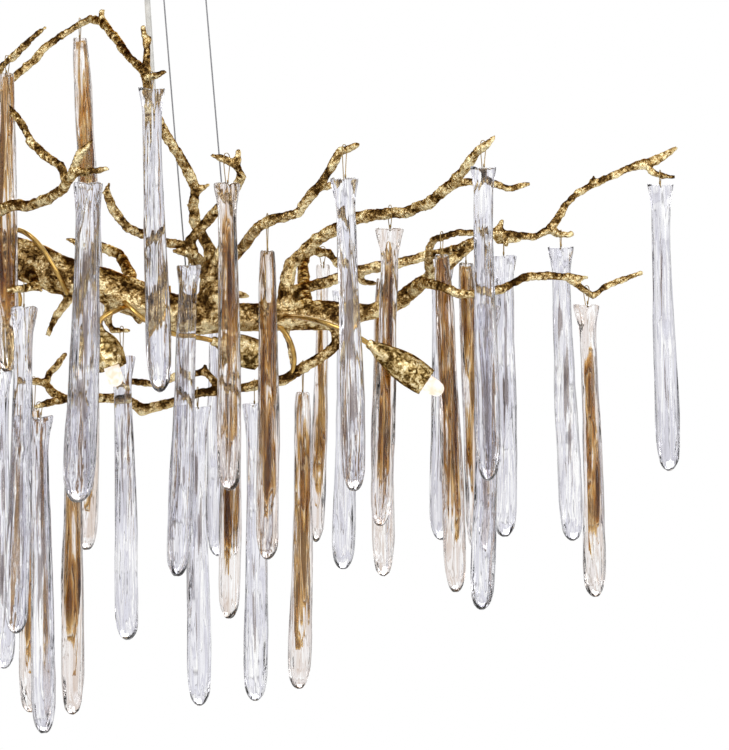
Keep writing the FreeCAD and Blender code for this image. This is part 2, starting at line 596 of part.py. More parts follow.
def pin_block(foot, axis, fit, tall):
    """The bulb's flat pinch foot, or with a fit the slot for it."""
    side = Vector(0, 1, 0)
    side = (side - axis * side.dot(axis)).normalize()
    other = axis.cross(side)
    corners = []
    for a, b in ((-1, -1), (1, -1), (1, 1), (-1, 1)):
        corners.append(foot + side * (a * (PIN_SLOT_WIDTH / 2 - PIN_FIT + fit))
                       + other * (b * (PIN_SLOT_LENGTH / 2 - PIN_FIT + fit)))
    return Part.Face(Part.makePolygon(corners + [corners[0]])).extrude(axis * tall)


# ---------------------------------------------------------------- ceiling box, cables and flex

COVER_FLOOR = -COVER_DEPTH + COVER_WALL  # the inside of the cover's bottom


def tab_places():
    return [(x, side) for x in (-TAB_ALONG, TAB_ALONG) for side in (-1, 1)]


def make_plate():
    half = Vector(PLATE_LENGTH / 2, PLATE_WIDTH / 2, PLATE_THICK)
    plate = Part.makeBox(PLATE_LENGTH, PLATE_WIDTH, PLATE_THICK, -half)
    holes = []
    for x in (-CEILING_HOLES_ALONG / 2, CEILING_HOLES_ALONG / 2):
        for y in (-CEILING_HOLES_ACROSS / 2, CEILING_HOLES_ACROSS / 2):
            holes.append(Part.makeCylinder(CEILING_HOLE_RADIUS, PLATE_THICK, Vector(x, y, -PLATE_THICK)))
    holes.append(Part.makeCylinder(SUPPLY_HOLE_RADIUS, PLATE_THICK, Vector(0, 0, -PLATE_THICK)))
    plate = plate.cut(holes)
    tabs = []
    for x, side in tab_places():
        face = side * PLATE_WIDTH / 2
        y = min(face, face - side * TAB_THICK)
        corner = Vector(x - TAB_WIDTH / 2, y, -PLATE_THICK - TAB_DEPTH)
        tab = Part.makeBox(TAB_WIDTH, TAB_THICK, TAB_DEPTH, corner)
        hole = bar(SCREW_RADIUS + SCREW_FIT, Vector(x, face + side, screw_level()),
                   Vector(x, face - side * (TAB_THICK + 1), screw_level()))
        tabs.append(tab.cut(hole))
    return plate.fuse(tabs).removeSplitter()


def screw_level():
    return -PLATE_THICK - TAB_DEPTH * 0.6


def cover_size():
    return PLATE_LENGTH / 2 + COVER_FIT + COVER_WALL, PLATE_WIDTH / 2 + COVER_FIT + COVER_WALL


def make_cover():
    length, width = cover_size()
    outer = Part.makeBox(2 * length, 2 * width, COVER_DEPTH, Vector(-length, -width, -COVER_DEPTH))
    low = [e for e in outer.Edges if e.CenterOfMass.z < -COVER_DEPTH + 0.01]
    outer = outer.makeChamfer(COVER_CHAMFER, low)
    length -= COVER_WALL
    width -= COVER_WALL
    inner = Part.makeBox(2 * length, 2 * width, COVER_DEPTH, Vector(-length, -width, COVER_FLOOR))
    low = [e for e in inner.Edges if e.CenterOfMass.z < COVER_FLOOR + 0.01]
    inner = inner.makeChamfer(COVER_CHAMFER - COVER_WALL * 0.6, low)
    holes = []
    for line in CABLES:
        holes += both_halves([Part.makeCylinder(GRIPPER_RADIUS + GRIPPER_FIT, 4 * COVER_WALL,
                                                Vector(line[0][0], line[0][1], -COVER_DEPTH - 1))])
    holes.append(Part.makeCylinder(GRIP_RADIUS + GRIPPER_FIT, 4 * COVER_WALL,
                                   Vector(FLEX_LINE[0][0], FLEX_LINE[0][1], -COVER_DEPTH - 1)))
    for x, side in tab_places():
        face = side * PLATE_WIDTH / 2
        holes.append(bar(SCREW_RADIUS + SCREW_FIT, Vector(x, face, screw_level()),
                         Vector(x, face + side * 4 * COVER_WALL, screw_level())))
    return outer.cut([inner] + holes)


def make_cover_screws():
    screws = []
    for x, side in tab_places():
        face = side * (PLATE_WIDTH / 2 + COVER_FIT + COVER_WALL)
        out = Vector(0, side, 0)
        base = Vector(x, face, screw_level())
        shank = Part.makeCylinder(SCREW_RADIUS, SCREW_LENGTH, base - out * SCREW_LENGTH, out)
        head = Part.makeCylinder(SCREW_HEAD_RADIUS, SCREW_HEAD_HEIGHT, base, out)
        screws.append(shank.fuse(head).removeSplitter())
    return Part.makeCompound(screws)


def make_terminal_block():
    base = Vector(TERMINAL_AT - TERMINAL_LENGTH / 2, -TERMINAL_WIDTH / 2, -PLATE_THICK - TERMINAL_HEIGHT)
    block = Part.makeBox(TERMINAL_LENGTH, TERMINAL_WIDTH, TERMINAL_HEIGHT, base)
    step = TERMINAL_LENGTH / 4
    notches = []
    for k in (1, 2, 3):
        notches.append(Part.makeBox(2, TERMINAL_WIDTH, 3, base + Vector(k * step - 1, 0, 0)))
    return block.cut(notches)


def make_grippers():
    """A flanged barrel in the cover for each cable, standing on the cover's inside."""
    barrels = []
    for line in CABLES:
        _, way = anchor_axis(line, ANCHOR_SUNK)
        at = Vector(line[0][0], line[0][1], 0)
        flange = Part.makeCylinder(GRIPPER_FLANGE_RADIUS, GRIPPER_FLANGE, at + Vector(0, 0, COVER_FLOOR))
        barrel = Part.makeCylinder(GRIPPER_RADIUS, GRIPPER_BARREL,
                                   at + Vector(0, 0, COVER_FLOOR + GRIPPER_FLANGE - GRIPPER_BARREL))
        head = cable_head(line)
        hole = bar(CABLE_RADIUS + CABLE_FIT, head - way * 2 * GRIPPER_BARREL, head)
        barrels.append(barrel.fuse(flange).removeSplitter().cut(hole))
    return Part.makeCompound(both_halves(barrels))


def cable_head(line):
    """The cable's upper end: on the barrel's middle, just under its top."""
    return Vector(line[0][0], line[0][1], COVER_FLOOR + GRIPPER_FLANGE - 3.0)


def make_cables():
    cables = []
    for line in CABLES:
        foot = anchor_top(line)
        cables.append(bar(CABLE_RADIUS, foot, cable_head(line)))
    return Part.makeCompound(both_halves(cables))


def anchor_axis(line, sunk):
    _, foot = line_hole(line, 1.0, sunk)
    top = Vector(line[0][0], line[0][1], -COVER_DEPTH)
    return foot, (top - foot).normalize()


def anchor_top(line):
    foot, way = anchor_axis(line, ANCHOR_SUNK)
    return foot + way * (ANCHOR_HEIGHT - 5.0)


def make_anchors():
    anchors = []
    for line in CABLES:
        foot, way = anchor_axis(line, ANCHOR_SUNK)
        body = Part.makeCylinder(ANCHOR_RADIUS, ANCHOR_HEIGHT, foot, way)
        cable_way = (cable_head(line) - anchor_top(line)).normalize()
        hole = Part.makeCylinder(CABLE_RADIUS + CABLE_FIT, ANCHOR_HEIGHT, anchor_top(line), cable_way)
        anchors.append(body.cut(hole))
    return Part.makeCompound(both_halves(anchors))


def flex_ends():
    foot, way = anchor_axis(FLEX_LINE, BUSH_SUNK)
    head = Vector(FLEX_LINE[0][0], FLEX_LINE[0][1], COVER_FLOOR + GRIP_FLANGE)
    return foot + way * 2.0, head


def make_flex():
    foot, head = flex_ends()
    return bar(FLEX_RADIUS, foot, head)


def make_flex_fittings():
    """The grip in the cover and the bush in the bough that the flex passes through."""
    foot, head = flex_ends()
    at = Vector(FLEX_LINE[0][0], FLEX_LINE[0][1], 0)
    flange = Part.makeCylinder(GRIP_FLANGE_RADIUS, GRIP_FLANGE, at + Vector(0, 0, COVER_FLOOR))
    barrel = Part.makeCylinder(GRIP_RADIUS, GRIP_FLANGE + 14.0, at + Vector(0, 0, COVER_FLOOR - 14.0))
    hole = bar(FLEX_RADIUS + FLEX_FIT, foot, head + (head - foot).normalize() * 5)
    grip = barrel.fuse(flange).removeSplitter().cut(hole)
    base, way = anchor_axis(FLEX_LINE, BUSH_SUNK)
    bush = Part.makeCylinder(BUSH_RADIUS, BUSH_HEIGHT, base, way).cut(hole)
    return Part.makeCompound([grip, bush])


# ---------------------------------------------------------------- the whole chandelier

def make_chandelier():
    nodes = {}
    nodes["trunk"] = make_trunk()
    nodes.update(make_branches(nodes["trunk"]))
    nodes.update(make_drops())
    nodes["conduits"] = make_conduits()
    nodes.update(make_lamps())
    nodes["ceiling_plate"] = make_plate()
    nodes["canopy_cover"] = make_cover()
    nodes["cover_screws"] = make_cover_screws()
    nodes["terminal_block"] = make_terminal_block()
    nodes["cable_grippers"] = make_grippers()
    nodes["suspension_cables"] = make_cables()
    nodes["cable_anchors"] = make_anchors()
    nodes["power_flex"] = make_flex()
    nodes["flex_grip_and_bush"] = make_flex_fittings()
    return nodes


def main():
    os.makedirs("parts", exist_ok=True)
    for name, shape in make_chandelier().items():
        shape.exportStep("parts/" + name + ".step")


main()
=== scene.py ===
import json
import logging
import math
from collections.abc import Iterable, Iterator, Sequence
from contextlib import contextmanager
from dataclasses import dataclass, field
from enum import Enum

import bpy
from mathutils import Matrix, Vector

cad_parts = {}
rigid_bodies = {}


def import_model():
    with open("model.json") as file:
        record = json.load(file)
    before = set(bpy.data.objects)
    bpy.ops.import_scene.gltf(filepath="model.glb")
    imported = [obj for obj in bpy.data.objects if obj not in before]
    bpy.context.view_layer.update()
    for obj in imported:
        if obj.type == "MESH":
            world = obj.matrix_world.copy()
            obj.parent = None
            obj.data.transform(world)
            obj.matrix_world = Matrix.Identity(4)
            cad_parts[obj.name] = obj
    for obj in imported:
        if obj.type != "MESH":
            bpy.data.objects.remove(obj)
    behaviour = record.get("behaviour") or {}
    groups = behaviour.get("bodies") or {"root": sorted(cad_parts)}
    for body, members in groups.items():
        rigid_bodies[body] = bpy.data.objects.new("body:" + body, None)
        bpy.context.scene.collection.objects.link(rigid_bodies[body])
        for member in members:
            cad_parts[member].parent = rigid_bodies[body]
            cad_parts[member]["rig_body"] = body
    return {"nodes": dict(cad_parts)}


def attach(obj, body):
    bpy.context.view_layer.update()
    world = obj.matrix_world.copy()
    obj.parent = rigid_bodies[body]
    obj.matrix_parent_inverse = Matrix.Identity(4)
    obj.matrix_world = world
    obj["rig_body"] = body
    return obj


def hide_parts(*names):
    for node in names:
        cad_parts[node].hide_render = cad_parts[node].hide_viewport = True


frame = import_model()

LOG = logging.getLogger("branch_chandelier")
MM = 0.001
SAME_CORNER = 2e-5
GROOVE_STEPS = (0.11, 0.07, 0.4)

Row = tuple[float, float]
Place = tuple[float, float, float]
Colour = tuple[float, float, float]
Grooves = tuple[float, float, float]


# ---------------------------------------------------------------- working in Blender as by hand


def pick(*objects: bpy.types.Object) -> None:
    """Select just these objects and make the first of them active.

    Args:
        objects: the objects to select.
    """
    bpy.ops.object.select_all(action="DESELECT")
    for obj in objects:
        obj.select_set(True)
    bpy.context.view_layer.objects.active = objects[0]


def apply_modifier(obj: bpy.types.Object, kind: str, **settings: object) -> None:
    """Give obj one modifier and apply it.

    Args:
        obj: the piece.
        kind: Blender's name for the modifier's type.
        settings: the modifier's own settings.
    """
    pick(obj)
    modifier = obj.modifiers.new(kind.lower(), kind)
    for name, value in settings.items():
        setattr(modifier, name, value)
    bpy.ops.object.modifier_apply(modifier=modifier.name)


@contextmanager
def editing(obj: bpy.types.Object) -> Iterator[None]:
    """Open a piece in edit mode with all of its mesh selected, and close it again.

    Args:
        obj: the piece.

    Yields:
        Nothing, while the piece is open.
    """
    pick(obj)
    bpy.ops.object.mode_set(mode="EDIT")
    bpy.ops.mesh.select_all(action="SELECT")
    yield
    bpy.ops.object.mode_set(mode="OBJECT")


def joined(name: str, parts: Sequence[bpy.types.Object]) -> bpy.types.Object:
    """Join the parts into one piece.

    Args:
        name: the joined piece's name.
        parts: the pieces to join.

    Returns:
        The joined piece.
    """
    pick(*parts)
    if len(parts) > 1:
        bpy.ops.object.join()
    whole = bpy.context.view_layer.objects.active
    whole.name = name
    whole.data.name = name
    return whole


def copy_at(model: bpy.types.Object, place: Matrix) -> bpy.types.Object:
    """Copy a modelled piece, with its own mesh, to a place.

    Args:
        model: the piece that is repeated.
        place: where the copy goes.

    Returns:
        The copy, its place in its mesh.
    """
    twin = bpy.data.objects.new(model.name, model.data.copy())
    twin.data.transform(place)
    bpy.context.scene.collection.objects.link(twin)
    return twin


def discard(*objects: bpy.types.Object) -> None:
    """Take away pieces that only served as patterns."""
    for obj in objects:
        bpy.data.objects.remove(obj)


def solids_of(node: str) -> list[bpy.types.Object]:
    """Copy a CAD node and part the copy into its separate solids.

    Args:
        node: the CAD node's name.

    Returns:
        One object for each solid.
    """
    source = frame["nodes"][node]
    twin = bpy.data.objects.new(node + "_copy", source.data.copy())
    twin.data.materials.clear()
    bpy.context.scene.collection.objects.link(twin)
    with editing(twin):
        bpy.ops.mesh.remove_doubles(threshold=SAME_CORNER)
        bpy.ops.mesh.separate(type="LOOSE")
    return list(bpy.context.selected_objects)


def points_of(obj: bpy.types.Object) -> list[Vector]:
    """The places of a mesh's corners."""
    return [vertex.co.copy() for vertex in obj.data.vertices]


def middle_of(points: Iterable[Vector]) -> Vector:
    """The mean of some points."""
    points = list(points)
    return sum(points, Vector()) / len(points)


def ends_of(points: Sequence[Vector], reach: float) -> tuple[list[Vector], list[Vector]]:
    """Pick out the highest and the lowest of some points.

    Args:
        points: the points.
        reach: how far below the highest, or above the lowest, a point still counts.

    Returns:
        The points at the top and the points at the foot.
    """
    high = max(point.z for point in points)
    low = min(point.z for point in points)
    return [p for p in points if high - p.z < reach], [p for p in points if p.z - low < reach]


def turned(name: str, rows: Sequence[Row], sides: int) -> bpy.types.Object:
    """Model a turned form along Z: a disc that is extruded and scaled from row to row.

    Args:
        name: the piece's name.
        rows: the height and the radius of each ring, in metres.
        sides: how many corners a ring has.

    Returns:
        The closed piece, shaded smooth.
    """
    height, radius = rows[0]
    bpy.ops.object.select_all(action="DESELECT")
    bpy.ops.mesh.primitive_circle_add(vertices=sides, radius=radius, fill_type="NGON", location=(0, 0, 0))
    obj = bpy.context.object
    obj.name = name
    obj.data.transform(Matrix.Translation((0, 0, height)))
    with editing(obj):
        for next_height, next_radius in rows[1:]:
            bpy.ops.mesh.extrude_region_move(TRANSFORM_OT_translate={"value": (0, 0, next_height - height)})
            share = next_radius / radius
            bpy.ops.transform.resize(value=(share, share, 1), center_override=(0, 0, next_height))
            height, radius = next_height, next_radius
        bpy.ops.mesh.select_all(action="SELECT")
        bpy.ops.mesh.normals_make_consistent(inside=False)
    bpy.ops.object.shade_smooth()
    return obj


def smooth_line(name: str, points: Sequence[Sequence[float]], radius: float, order: int = 3) -> bpy.types.Object:
    """Lay one open smooth line with round thickness.

    Args:
        name: the line's name.
        points: its control points.
        radius: its radius.
        order: the spline's order.

    Returns:
        The curve object.
    """
    data = bpy.data.curves.new(name, "CURVE")
    data.dimensions = "3D"
    data.bevel_depth = radius
    data.bevel_resolution = 3
    data.resolution_u = 8
    data.use_fill_caps = True
    line = data.splines.new("NURBS")
    line.points.add(len(points) - 1)
    for knot, point in zip(line.points, points):
        knot.co = (*point, 1.0)
    line.order_u = order
    line.use_endpoint_u = True
    obj = bpy.data.objects.new(name, data)
    bpy.context.scene.collection.objects.link(obj)
    return obj


def press_grooves(obj: bpy.types.Object, seed: int, width: float, depth: float, stretch: float) -> None:
    """Press grooves that run along Z into a piece, as drawing and beating leave them.

    Args:
        obj: the piece.
        seed: which grooves.
        width: how wide a groove is.
        depth: from the deepest groove to the highest ridge.
        stretch: how many times longer than wide they are.
    """
    guide = bpy.data.objects.new("groove_guide", None)
    bpy.context.scene.collection.objects.link(guide)
    guide.location = tuple(step * seed for step in GROOVE_STEPS)
    guide.scale = (1, 1, stretch)
    bpy.context.view_layer.update()
    cloud = bpy.data.textures.new("grooves", "CLOUDS")
    cloud.noise_scale = width
    apply_modifier(obj, "DISPLACE", texture=cloud, texture_coords="OBJECT", texture_coords_object=guide,
                   strength=depth, mid_level=0.5)
    discard(guide)


def as_mesh(obj: bpy.types.Object) -> bpy.types.Object:
    """Make a curve's tube a mesh, shaded smooth.

    Args:
        obj: the curve.

    Returns:
        The mesh object.
    """
    pick(obj)
    bpy.ops.object.convert(target="MESH")
    obj = bpy.context.object
    bpy.ops.object.shade_smooth()
    return obj


# ---------------------------------------------------------------- finishes


class NodeBench:
    """Lays shader nodes in one tree."""

    def __init__(self, tree: bpy.types.NodeTree) -> None:
        """Start on a tree."""
        self.tree = tree

    def add(self, kind: str, **settings: object) -> bpy.types.Node:
        """Add a node.

        Args:
            kind: the node's type, without the leading ShaderNode.
            settings: its properties, and what its sockets work with, by the socket's name with _ for a space.

        Returns:
            The node.
        """
        node = self.tree.nodes.new("ShaderNode" + kind)
        for name, value in settings.items():
            if hasattr(node, name):
                setattr(node, name, value)
            else:
                self.feed(node.inputs[name.replace("_", " ")], value)
        return node

    def feed(self, into: bpy.types.NodeSocket, value: object) -> None:
        """Give a socket what it works with.

        Args:
            into: the socket.
            value: a value, or another node's socket that is linked to it.
        """
        if isinstance(value, bpy.types.NodeSocket):
            self.tree.links.new(value, into)
        else:
            into.default_value = value

    def place(self) -> bpy.types.NodeSocket:
        """The place of a point on its own piece."""
        return self.add("TexCoord").outputs["Object"]

    def reckon(self, operation: str, *terms: object) -> bpy.types.NodeSocket:
        """Reckon with numbers and sockets.

        Args:
            operation: what is done with them.
            terms: the numbers and sockets, in order.

        Returns:
            The result's socket.
        """
        node = self.add("Math", operation=operation)
        for into, term in zip(node.inputs, terms):
            self.feed(into, term)
        return node.outputs[0]

    def ranged(self, value: bpy.types.NodeSocket, span: Row, wanted: Row, **settings: object) -> bpy.types.NodeSocket:
        """Turn one span of values into another.

        Args:
            value: the value's socket.
            span: the two ends of its span.
            wanted: what they become.
            settings: the node's properties.

        Returns:
            The result's socket.
        """
        node = self.add("MapRange", Value=value, From_Min=span[0], From_Max=span[1], To_Min=wanted[0],
                        To_Max=wanted[1], **settings)
        return node.outputs["Result"]

    def bump(self, height: bpy.types.NodeSocket, strength: float, distance: float) -> bpy.types.NodeSocket:
        """The normal of a relief."""
        return self.add("Bump", Height=height, Strength=strength, Distance=distance).outputs["Normal"]

    def blend(self, share: bpy.types.NodeSocket, first: bpy.types.Node, second: bpy.types.Node,
              end: bpy.types.Node) -> None:
        """Send two shaders, mixed, to the tree's end.

        Args:
            share: how much of the second there is.
            first: the first shader.
            second: the second shader.
            end: the tree's output node.
        """
        mix = self.add("MixShader", Fac=share)
        self.feed(mix.inputs[1], first.outputs[0])
        self.feed(mix.inputs[2], second.outputs[0])
        self.feed(end.inputs["Surface"], mix.outputs["Shader"])

    def ramp(self, factor: bpy.types.NodeSocket, stops: Sequence[tuple[float, Colour]]) -> bpy.types.NodeSocket:
        """Turn a factor into a colour.

        Args:
            factor: the factor's socket.
            stops: positions and their colours.

        Returns:
            The colour's socket.
        """
        node = self.add("ValToRGB", Fac=factor)
        band = node.color_ramp
        while len(band.elements) < len(stops):
            band.elements.new(0.5)
        for element, (at, colour) in zip(band.elements, stops):
            element.position = at
            element.color = (*colour, 1.0)
        return node.outputs["Color"]


def effect_group(name: str, values: dict[str, float]) -> tuple[NodeBench, bpy.types.NodeOutputs,
                                                                     bpy.types.NodeInputs]:
    """Start a shared effect that takes a place and some values and gives Mask and Height.

    Args:
        name: the effect's name.
        values: its named values and their defaults.

    Returns:
        A bench to lay its nodes on, what the effect is given, and what it has to give.
    """
    tree = bpy.data.node_groups.new(name, "ShaderNodeTree")
    tree.interface.new_socket(name="Vector", in_out="INPUT", socket_type="NodeSocketVector")
    for label, default in values.items():
        socket = tree.interface.new_socket(name=label, in_out="INPUT", socket_type="NodeSocketFloat")
        socket.default_value = default
    for label in ("Mask", "Height"):
        tree.interface.new_socket(name=label, in_out="OUTPUT", socket_type="NodeSocketFloat")
    return NodeBench(tree), tree.nodes.new("NodeGroupInput").outputs, tree.nodes.new("NodeGroupOutput").inputs


def hammered_effect() -> bpy.types.NodeTree:
    """Cast brass beaten like foil: Mask is low in dark patches and high on bright ridges, and is lowered by patina in
    hollows and by painted shade on upward faces; Height is the relief.

    Returns:
        The effect's node group, built the first time it is asked for.
    """
    found = bpy.data.node_groups.get("hammered_skin")
    if found:
        return found
    bench, given, wanted = effect_group("hammered_skin", {"Scale": 300.0, "Patch": 45.0, "Hollow": 0.0})
    place = given["Vector"]
    fine = bench.add("TexNoise", Vector=place, Scale=given["Scale"], Detail=6.0, Roughness=0.72, Distortion=0.9)
    patch = bench.add("TexNoise", Vector=place, Scale=given["Patch"], Detail=3.0, Roughness=0.6)
    dents = bench.add("TexVoronoi", feature="SMOOTH_F1", Smoothness=0.4, Vector=place,
                      Scale=bench.reckon("MULTIPLY", given["Scale"], 0.6))
    bench.feed(wanted["Height"], bench.reckon("MULTIPLY_ADD", fine.outputs["Fac"], 0.8, dents.outputs["Distance"]))
    # The given value darkens the mask with patina in hollows and with painted shade on upward faces.
    patch_weight, patina_and_shade_weight = 0.5, -0.15
    mottled = bench.reckon("MULTIPLY_ADD", patch.outputs["Fac"], patch_weight, fine.outputs["Fac"])
    worn = bench.reckon("MULTIPLY_ADD", given["Hollow"], patina_and_shade_weight, mottled)
    bench.feed(wanted["Mask"], bench.reckon("MULTIPLY", worn, 1 / (1 + patch_weight)))
    return bench.tree


def streak_effect() -> bpy.types.NodeTree:
    """The long streaks of glass drawn by hand: noise pulled out along Z, with a few ripples over it.

    Returns:
        The effect's node group, built the first time it is asked for.
    """
    found = bpy.data.node_groups.get("drawn_streaks")
    if found:
        return found
    bench, given, wanted = effect_group("drawn_streaks", {"Scale": 260.0, "Wave": 0.6})
    pulled = bench.add("Mapping", Vector=given["Vector"], Scale=(1.0, 1.0, 0.045))
    streaks = bench.add("TexNoise", Vector=pulled.outputs["Vector"], Scale=given["Scale"], Distortion=given["Wave"],
                        Detail=1.5, Roughness=0.4)
    ripples = bench.add("TexNoise", Vector=given["Vector"], Scale=75.0, Detail=3.0)
    mixed = bench.add("Mix", data_type="FLOAT", Factor=0.06, A=streaks.outputs["Fac"], B=ripples.outputs["Fac"])
    for label in ("Height", "Mask"):
        bench.feed(wanted[label], mixed.outputs["Result"])
    return bench.tree


def streaked(bench: NodeBench, scale: float, wave: float) -> bpy.types.Node:
    """The streaks' effect, laid over a piece."""
    return bench.add("Group", node_tree=streak_effect(), Vector=bench.place(), Scale=scale, Wave=wave)


@dataclass(frozen=True)
class Finish:
    """A surface finish that is made once and then used again."""

    name: str

    def material(self) -> bpy.types.Material:
        """The finish as a Blender material, made the first time it is asked for.

        Returns:
            The material.
        """
        label = self.name + "_finish"
        found = bpy.data.materials.get(label)
        if found:
            return found
        made = bpy.data.materials.new(label)
        made.use_nodes = True
        self.lay(made.node_tree, made.node_tree.nodes["Principled BSDF"])
        return made

    def lay(self, tree: bpy.types.NodeTree, shader: bpy.types.Node) -> None:
        """Lay the finish's nodes."""
        raise NotImplementedError

    def put_on(self, obj: bpy.types.Object) -> None:
        """Dress a piece in this finish all over."""
        obj.data.materials.clear()
        obj.data.materials.append(self.material())


@dataclass(frozen=True)
class HammeredMetal(Finish):
    """Cast or hammered metal, dark in its hollows and patches and bright where it is rubbed; on the bough also darker
    on upward faces and lighter on downward ones, which is painted shade and light.
    """

    dark: Colour = (0.030, 0.014, 0.004)
    body: Colour = (0.15, 0.080, 0.022)
    bright: Colour = (0.54, 0.34, 0.115)
    rubbed: Colour = (1.0, 0.86, 0.52)
    rim: Colour = (0.30, 0.20, 0.09)
    spread: float = 0.08
    scale: float = 380.0
    patch: float = 60.0
    depth: float = 0.9
    relief: float = 1.6 * MM
    tone_steps: tuple[float, ...] = (-1.1, -0.2, 0.5, 1.3)
    shine_span: Row = (0.4, 0.6)
    roughness: Row = (0.45, 0.22)

    def lay(self, tree: bpy.types.NodeTree, shader: bpy.types.Node) -> None:
        """Lay colour, roughness and bump from one hammered skin.

        Args:
            tree: the material's node tree.
            shader: its Principled BSDF.
        """
        bench = NodeBench(tree)
        # The bough's skin carries patina depth plus painted shade on upward faces; pieces without it read 0.
        hollow = bench.add("Attribute", attribute_name="hollow").outputs["Fac"]
        skin = bench.add("Group", node_tree=hammered_effect(), Vector=bench.place(), Scale=self.scale,
                         Patch=self.patch, Hollow=hollow)
        tones = (self.dark, self.body, self.bright, self.rubbed)
        stops = [(0.5 + self.spread * step, tone) for step, tone in zip(self.tone_steps, tones)]
        bench.feed(shader.inputs["Base Color"], bench.ramp(skin.outputs["Mask"], stops))
        shine = bench.ranged(skin.outputs["Mask"], self.shine_span, self.roughness)
        bench.feed(shader.inputs["Roughness"], shine)
        bench.feed(shader.inputs["Normal"], bench.bump(skin.outputs["Height"], self.depth, self.relief))
        shader.inputs["Metallic"].default_value = 1.0
        shader.inputs["Specular Tint"].default_value = (*self.rim, 1.0)


@dataclass(frozen=True)
class DrawnGlass(Finish):
    """Clear glass drawn out by hand: long greyish and white bands with thin dark lines between, which are its own
    streaks and painted refraction shade, and darker rims, which are painted shade.
    """

    # The darkest line tone and the grey band tone are the glass's own streaks and painted refraction shade; the last
    # tone is painted rim shade.
    thread_and_painted_shade: Colour = (0.15, 0.14, 0.16)
    shade: Colour = (0.56, 0.55, 0.61)
    body: Colour = (0.76, 0.76, 0.84)
    open: Colour = (1.0, 1.0, 1.0)
    painted_edge_shade: Colour = (0.12, 0.11, 0.14)
    scale: float = 170.0
    wave: float = 0.25
    depth: float = 0.9
    relief: float = 3.0 * MM

    def lay(self, tree: bpy.types.NodeTree, shader: bpy.types.Node) -> None:
        """Lay clear glass whose colour follows its streaks, with painted refraction shade in them, and darkens
        towards its rims as painted shade.

        Args:
            tree: the material's node tree.
            shader: its Principled BSDF.
        """
        bench = NodeBench(tree)
        skin = streaked(bench, self.scale, self.wave)
        normal = bench.bump(skin.outputs["Height"], self.depth, self.relief)
        bench.feed(shader.inputs["Normal"], normal)
        # Streak tones: the glass's own streaks, whose dark lines and grey bands are also painted refraction shade.
        streaks = bench.ramp(skin.outputs["Mask"], [
            (0.34, self.shade), (0.40, self.body), (0.448, self.body), (0.458, self.thread_and_painted_shade), (0.470, self.open),
            (0.515, self.open), (0.525, self.shade), (0.535, self.body), (0.60, self.shade), (0.61, self.open)])
        # Painted rim shade: the colour darkens where the glass turns away from view.
        rim = bench.add("LayerWeight", Blend=0.30, Normal=normal)
        painted_edge_shading = bench.ramp(rim.outputs["Facing"], [(0.0, self.open), (0.27, self.open), (0.68, self.painted_edge_shade)])
        both = bench.add("Mix", data_type="RGBA", blend_type="MULTIPLY", Factor=1.0)
        first_colour, second_colour, mixed_colour = both.inputs[6], both.inputs[7], both.outputs[2]
        bench.feed(first_colour, streaks)
        bench.feed(second_colour, painted_edge_shading)
        bench.feed(shader.inputs["Base Color"], mixed_colour)
        shader.inputs["Roughness"].default_value = 0.03
        shader.inputs["IOR"].default_value = 1.45
        shader.inputs["Transmission Weight"].default_value = 1.0


@dataclass(frozen=True)
class AmberStreaks(Finish):
    """The brown and gold streaks inside a drop, thick in places and open in others; the gold and palest streaks also
    stand in for glints, which is painted highlight.
    """

    deep: Colour = (0.11, 0.036, 0.004)
    body: Colour = (0.46, 0.19, 0.022)
    gold: Colour = (0.92, 0.52, 0.13)
    pale: Colour = (1.0, 0.86, 0.62)
    open_at: Row = (0.520, 0.550)
    veil: Row = (1.0, 0.03)
    scale: float = 210.0
    wave: float = 0.4
    thinning: float = 0.12
    clearness: float = 0.6

    def lay(self, tree: bpy.types.NodeTree, shader: bpy.types.Node) -> None:
        """Lay streaks that the light passes between, and more of it where the core thins out.

        Args:
            tree: the material's node tree.
            shader: its Principled BSDF.
        """
        bench = NodeBench(tree)
        skin = streaked(bench, self.scale, self.wave)
        thin = bench.add("Attribute", attribute_name="thin").outputs["Fac"]
        mask = bench.reckon("MULTIPLY_ADD", thin, self.thinning, skin.outputs["Mask"])
        # The gold and pale stops are the amber's own lighter streaks and also painted glints.
        bench.feed(shader.inputs["Base Color"], bench.ramp(mask, [
            (0.37, self.deep), (0.42, self.body), (0.448, self.gold), (0.460, self.pale), (0.470, self.deep),
            (0.495, self.body), (0.520, self.gold), (0.545, self.pale)]))
        bench.feed(shader.inputs["Alpha"], bench.ranged(mask, self.open_at, self.veil))
        shader.inputs["Roughness"].default_value = 0.2
        shader.inputs["IOR"].default_value = 1.1
        shader.inputs["Transmission Weight"].default_value = self.clearness


@dataclass(frozen=True)
class PlainSurface(Finish):
    """A smooth made surface with a little unevenness of tone and shine."""

    body: Colour = (0.8, 0.8, 0.8)
    metallic: float = 0.0
    roughness: float = 0.35
    scale: float = 90.0
    uneven: float = 0.12

    def lay(self, tree: bpy.types.NodeTree, shader: bpy.types.Node) -> None:
        """Lay a tone that drifts a little over the surface.

        Args:
            tree: the material's node tree.
            shader: its Principled BSDF.
        """
        bench = NodeBench(tree)
        cloud = bench.add("TexNoise", Vector=bench.place(), Scale=self.scale, Detail=3.0, Roughness=0.5)
        low = tuple(c * (1 - self.uneven) for c in self.body)
        high = tuple(min(1.0, c * (1 + self.uneven)) for c in self.body)
        bench.feed(shader.inputs["Base Color"], bench.ramp(cloud.outputs["Fac"], [(0.35, low), (0.65, high)]))
        shine = (self.roughness * 0.8, self.roughness * 1.25)
        bench.feed(shader.inputs["Roughness"], bench.ranged(cloud.outputs["Fac"], (0.0, 1.0), shine))
        shader.inputs["Metallic"].default_value = self.metallic


